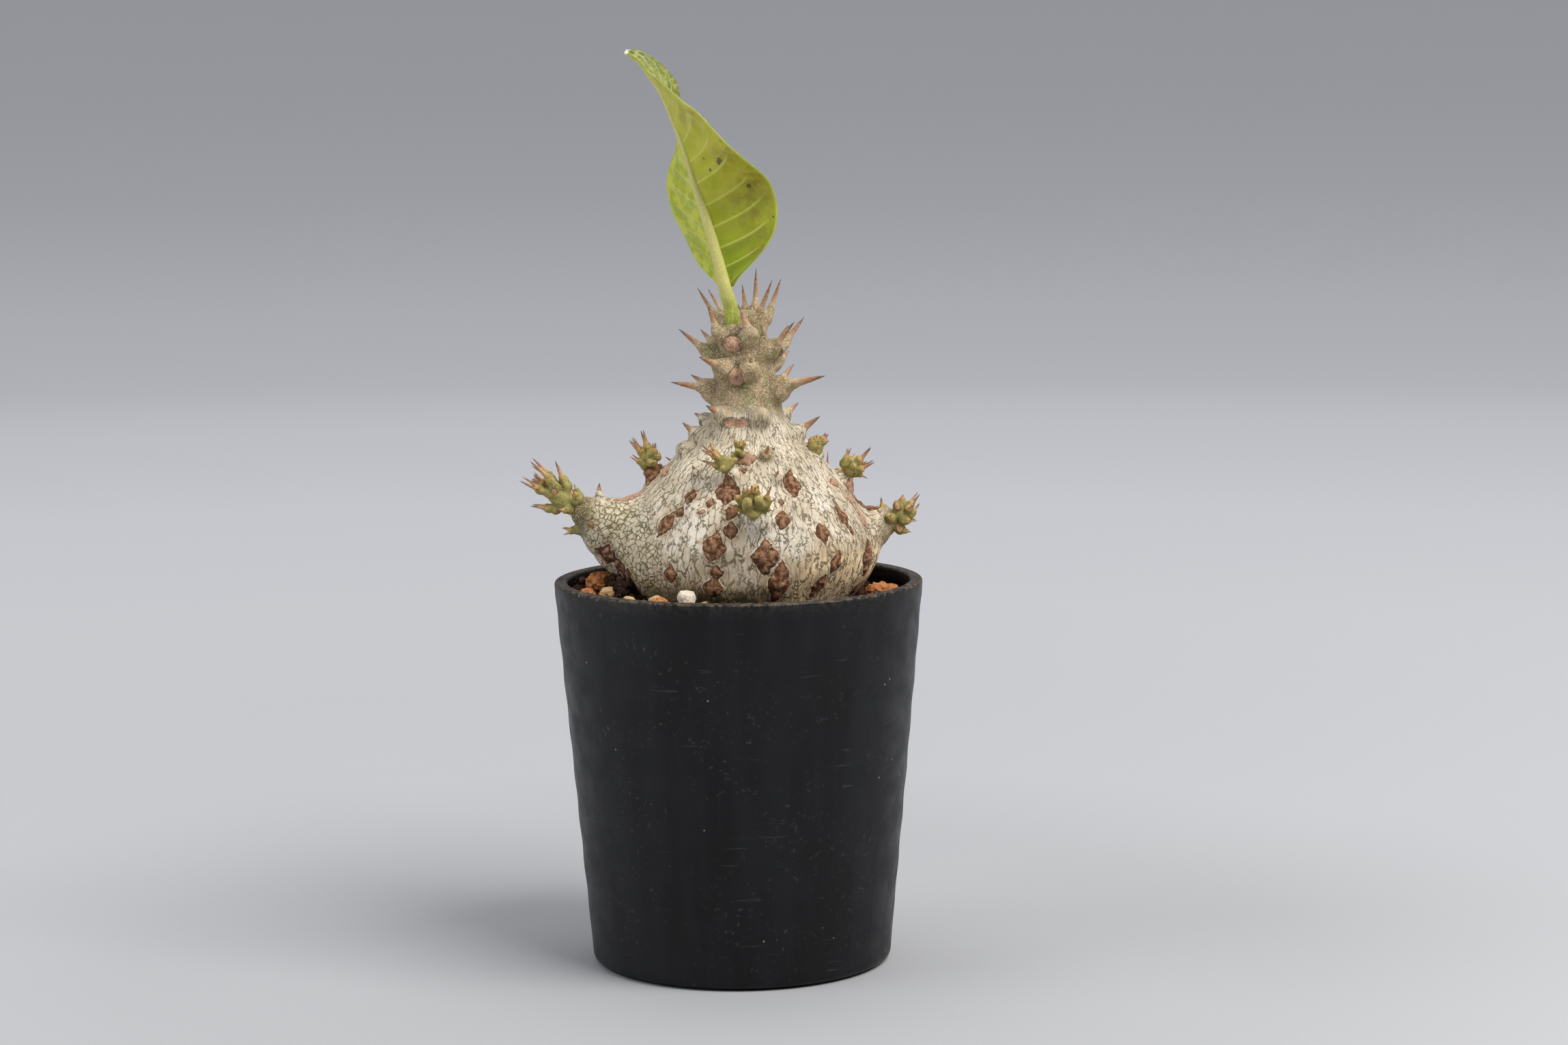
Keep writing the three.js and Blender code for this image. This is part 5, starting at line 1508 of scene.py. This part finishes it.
for i in range(NOTCHES["count"]):
    azimuth = NOTCHES["first"] + 360 * i / NOTCHES["count"]
    tall = NOTCHES["height"] + 1
    middle = heading(azimuth) * NOTCHES["radius"] + [0, 0, NOTCHES["height"] - tall / 2]
    size = [NOTCHES["width"], NOTCHES["depth"], tall]
    cut_away(pot, make_mesh("notch", *block(middle, size, azimuth)))
turns = [heading(360 * i / DRAINS["count"]) for i in range(DRAINS["count"])]
for middle in [np.zeros(3)] + [out * DRAINS["circle"] for out in turns]:
    points, quads = turned([[0.01, 2], [DRAINS["radius"], 2], [DRAINS["radius"], 7], [0.01, 7]], 40)
    cut_away(pot, make_mesh("drain", points + middle, [quads[:, ::-1]]))
dress(pot, pot_look(), "pot_plastic", "pot")


# Soil and loose grains


def soil_top(turn, r):
    """The soil's height at a turn and a distance from the axis."""
    tilt = r / LIP_INNER * np.cos(turn - math.radians(SOIL_HIGH_SIDE))
    waves = np.sin(4 * turn + 0.3 * r) + 0.6 * np.sin(7 * turn - 0.5 * r)
    return SOIL_LEVEL + SOIL_RISE * (1 + tilt) / 2 + SOIL_LUMPS * waves


def ball(detail):
    """Vertices and triangles of an even ball of radius 1."""
    g = (1 + 5**0.5) / 2
    points = [[-1, g, 0], [1, g, 0], [-1, -g, 0], [1, -g, 0], [0, -1, g], [0, 1, g]]
    points += [[0, -1, -g], [0, 1, -g], [g, 0, -1], [g, 0, 1], [-g, 0, -1], [-g, 0, 1]]
    faces = [[0, 11, 5], [0, 5, 1], [0, 1, 7], [0, 7, 10], [0, 10, 11], [1, 5, 9], [5, 11, 4], [11, 10, 2]]
    faces += [[10, 7, 6], [7, 1, 8], [3, 9, 4], [3, 4, 2], [3, 2, 6], [3, 6, 8], [3, 8, 9], [4, 9, 5]]
    faces += [[2, 4, 11], [6, 2, 10], [8, 6, 7], [9, 8, 1]]
    points = [unit(np.array(p, float)) for p in points]
    for _ in range(detail):
        known, finer = {}, []
        for a, b, c in faces:
            middles = []
            for pair in ((a, b), (b, c), (c, a)):
                key = tuple(sorted(pair))
                if key not in known:
                    known[key] = len(points)
                    points.append(unit(points[pair[0]] + points[pair[1]]))
                middles.append(known[key])
            ab, bc, ca = middles
            finer += [[a, ab, ca], [b, bc, ab], [c, ca, bc], [ab, bc, ca]]
        faces = finer
    return np.array(points), np.array(faces)


def trunk_hole(z):
    return trunk_radius(z) + SOIL_CLEAR


top_rows = 60
soil_rim = inside_radius(SOIL_LEVEL) - SOIL_CLEAR
hole_radius = trunk_hole(SOIL_LEVEL)
rows = [(0.01, FLOOR_TOP, 0), (inside_radius(FLOOR_CORNER) - 1.8, FLOOR_TOP, 0)]
rows += [(inside_radius(z) - SOIL_CLEAR, z, 0) for z in (6.8, 30, 55, 70, SOIL_LEVEL - 0.6)]
for share in np.linspace(0, 1, top_rows):
    rows.append((soil_rim + (hole_radius - soil_rim) * share, SOIL_LEVEL, share))
rows += [(trunk_hole(z), z, 1) for z in (71, 68, 60, 51, 46)] + [(0.01, 45.7, 1)]
sides_round = 300
profile = [[r, z] for r, z, _ in rows]
soil_points, soil_quads = turned(profile, sides_round)
share = np.repeat([s for *_, s in rows], sides_round)
soil_points[:, 1] *= 1 - (1 - TRUNK_DEPTH) * share
soil_points[:, 0] += share * lean(soil_points[:, 2])
on_top = np.repeat([z == SOIL_LEVEL for _, z, _ in rows], sides_round)
turn, out_of = around_axis(soil_points)
crumbs = 0.55 * noise(soil_points, 2.4, 51) + 0.4 * noise(soil_points, 1.1, 52)
crumbs += 0.2 * noise(soil_points, 0.6, 53)
soil_points[:, 2] += on_top * (soil_top(turn, out_of) - SOIL_LEVEL - 0.35 + crumbs)
soil_tone = np.clip(0.28 + 0.25 * crumbs, 0.02, 0.6)
soil_parts = [(soil_points, [soil_quads[:, ::-1]], {"tone": soil_tone})]

GRANULES = 1400
draw = np.random.default_rng(17)
small_ball = ball(1)
middle = np.array([lean(SOIL_LEVEL), 0])
for _ in range(GRANULES):
    radius = 0.26 + 0.75 * draw.random() ** 2.6 + (0.5 if draw.random() < 0.05 else 0)
    r = math.sqrt(draw.uniform(GRANULES_FROM**2, (soil_rim - 0.3 - radius) ** 2))
    azimuth = draw.uniform(-180, 180)
    place = heading(azimuth) * r
    away = np.hypot(*((place[:2] - middle) / [1, TRUNK_DEPTH]))
    lift, spin, kind = draw.random(), draw.uniform(0, 6, 3), draw.random()
    clear = trunk_radius(SOIL_LEVEL + 0.8) + 0.25 * radius
    if away < clear:
        continue
    p = small_ball[0] * (1 + 0.28 * draw.normal(size=(len(small_ball[0]), 1)).clip(-1.6, 1.6))
    p = p * [1, draw.uniform(0.7, 1), draw.uniform(0.55, 0.95)] * radius
    turn_by = np.array(Matrix.Rotation(spin[0], 3, "Z") @ Matrix.Rotation(0.3 * spin[1], 3, "X"))
    p = p @ turn_by.T + [place[0], place[1], soil_top(math.radians(azimuth), r) + lift * 0.9 - 0.2]
    shade = 0.1 + 0.45 * draw.random() if kind < 0.84 else 0.6 + 0.38 * draw.random()
    soil_parts.append((p, [small_ball[1]], {"tone": np.full(len(p), shade)}))
for _ in range(PEAT_HEAP["count"]):
    azimuth = draw.uniform(*PEAT_HEAP["azimuths"])
    away = PEAT_HEAP["reach"] * draw.random()
    place = about_trunk(azimuth, SOIL_LEVEL, trunk_radius(SOIL_LEVEL + 3) + away)
    r = np.hypot(*place[:2])
    pile = PEAT_HEAP["height"] * (1 - away / PEAT_HEAP["reach"])
    level = soil_top(math.radians(azimuth), r) + pile * draw.random()
    p = small_ball[0] * (1 + 0.3 * draw.normal(size=(len(small_ball[0]), 1)).clip(-1.6, 1.6))
    p = p * draw.uniform(0.4, 1.05) * [1, draw.uniform(0.6, 1), draw.uniform(0.5, 1)]
    p = p @ np.array(Matrix.Rotation(draw.uniform(0, 6), 3, "Z")).T + [place[0], place[1], level]
    soil_parts.append((p, [small_ball[1]], {"tone": np.full(len(p), 0.45 * draw.random() ** 2)}))
for _ in range(STRAWS):
    azimuth, r = draw.uniform(-180, 180), draw.uniform(26.5, 34)
    start = heading(azimuth) * r + [0, 0, soil_top(math.radians(azimuth), r) + 0.55]
    ahead = heading(draw.uniform(-180, 180)) * draw.uniform(1.2, 4.5)
    bow = [0, 0, 0.3 * draw.random()]
    if np.hypot(*(start + ahead)[:2]) > soil_rim - 0.8:
        ahead = -ahead
    line = spline([start, start + 0.5 * ahead + bow, start + ahead], 7)
    v, f, along = tube(line, 0.1 * (1.1 - np.linspace(-0.7, 0.7, 7) ** 2), 5)
    soil_parts.append((v, f, {"tone": np.full(len(v), draw.choice([0.3, 0.7, 0.86]))}))
dress(make_mesh("soil_bed", *joined(soil_parts)), soil_look(), "soil_mix", "soil")

grain_looks = {
    "fired_clay": grain_look("clay_crumb", (190, 128, 78), (158, 98, 56), (96, 58, 36)),
    "tan_pumice": grain_look("tan_crumb", (204, 172, 128), (178, 142, 98), (120, 88, 60)),
    "white_pumice": grain_look("pale_crumb", (224, 214, 196), (200, 186, 164), (110, 96, 84)),
}
fine_ball = ball(4)
for i, (name, (azimuth, distance, radius, squash, slot)) in enumerate(GRAINS.items()):
    p = fine_ball[0] * radius
    seed = 60 + 3 * i
    crumbly = 0.13 if slot == "fired_clay" else 0.04
    lumps_at = ((0.16, 1.1), (0.1, 0.5), (crumbly, 0.3), (0.6 * crumbly, 0.15))
    lump = sum(high * noise(p, radius * size, seed + n) for n, (high, size) in enumerate(lumps_at))
    p = p * (0.97 + lump[:, None]) * [1, 1, squash]
    level = soil_top(math.radians(azimuth), distance)
    p += heading(azimuth) * distance + [0, 0, level + radius * squash * 0.78]
    dress(make_mesh(name + "_stone", p, [fine_ball[1]]), grain_looks[slot], slot, name)


# Backdrop, lights and camera

FLOOR_RADIUS, CURVE_RADIUS, WALL_HEIGHT = 1500, 900, 2600
line = [[0.5, -0.02]] + [[r, -0.02] for r in np.linspace(40, FLOOR_RADIUS, 30)]
line += arc((FLOOR_RADIUS, CURVE_RADIUS - 0.02), CURVE_RADIUS, -88, 0, 24)
line += [[FLOOR_RADIUS + CURVE_RADIUS, WALL_HEIGHT]]
stage_points, stage_quads = turned(line, 96)
backdrop = make_mesh("backdrop", stage_points, [stage_quads])
backdrop.data.materials.append(paper_look())


def soft_light(name, place, size, power, colour=(1, 1, 1), target=(0, 0, 80)):
    lamp = bpy.data.lights.new(name, "AREA")
    lamp.shape, lamp.size, lamp.size_y = "RECTANGLE", size[0] * MM, size[1] * MM
    lamp.energy, lamp.color = power, colour
    made = bpy.data.objects.new(name, lamp)
    made.location = (Vector(place) + Vector((AXIS_X, 0, 0))) * MM
    aim = Vector(target) - Vector(place)
    made.rotation_euler = aim.to_track_quat("-Z", "Y").to_euler()
    bpy.context.scene.collection.objects.link(made)


soft_light("key", (520, -420, 900), (700, 700), 13.5, (1, 0.98, 0.95))
soft_light("fill", (-850, -250, 450), (600, 800), 4, (0.96, 0.98, 1))
soft_light("top", (0, 300, 1000), (900, 600), 4)

world = bpy.data.worlds.new("room")
world.use_nodes = True
world.node_tree.nodes["Background"].inputs["Color"].default_value = rgb(225, 228, 235)
world.node_tree.nodes["Background"].inputs["Strength"].default_value = 0.36
bpy.context.scene.world = world
bpy.context.scene.view_settings.view_transform = "Standard"

eye = bpy.data.cameras.new("camera")
eye.sensor_width = SENSOR
eye.lens = FOCAL_PIXELS * SENSOR / IMAGE[0]
eye.clip_start, eye.clip_end = 0.05, 20
camera = bpy.data.objects.new("camera", eye)
pitch, yaw, roll = (math.radians(a) for a in (CAMERA_PITCH, CAMERA_YAW, CAMERA_ROLL))
ahead = Vector((math.sin(yaw) * math.cos(pitch), math.cos(yaw) * math.cos(pitch), -math.sin(pitch)))
level = Vector((math.cos(yaw), -math.sin(yaw), 0))
above = level.cross(ahead)
right = math.cos(roll) * level + math.sin(roll) * above
above = math.cos(roll) * above - math.sin(roll) * level
camera.matrix_world = Matrix((right, above, -ahead)).transposed().to_4x4()
camera.location = (Vector(CAMERA_PLACE) + Vector((AXIS_X, 0, 0))) * MM
bpy.context.scene.collection.objects.link(camera)
bpy.context.scene.camera = camera
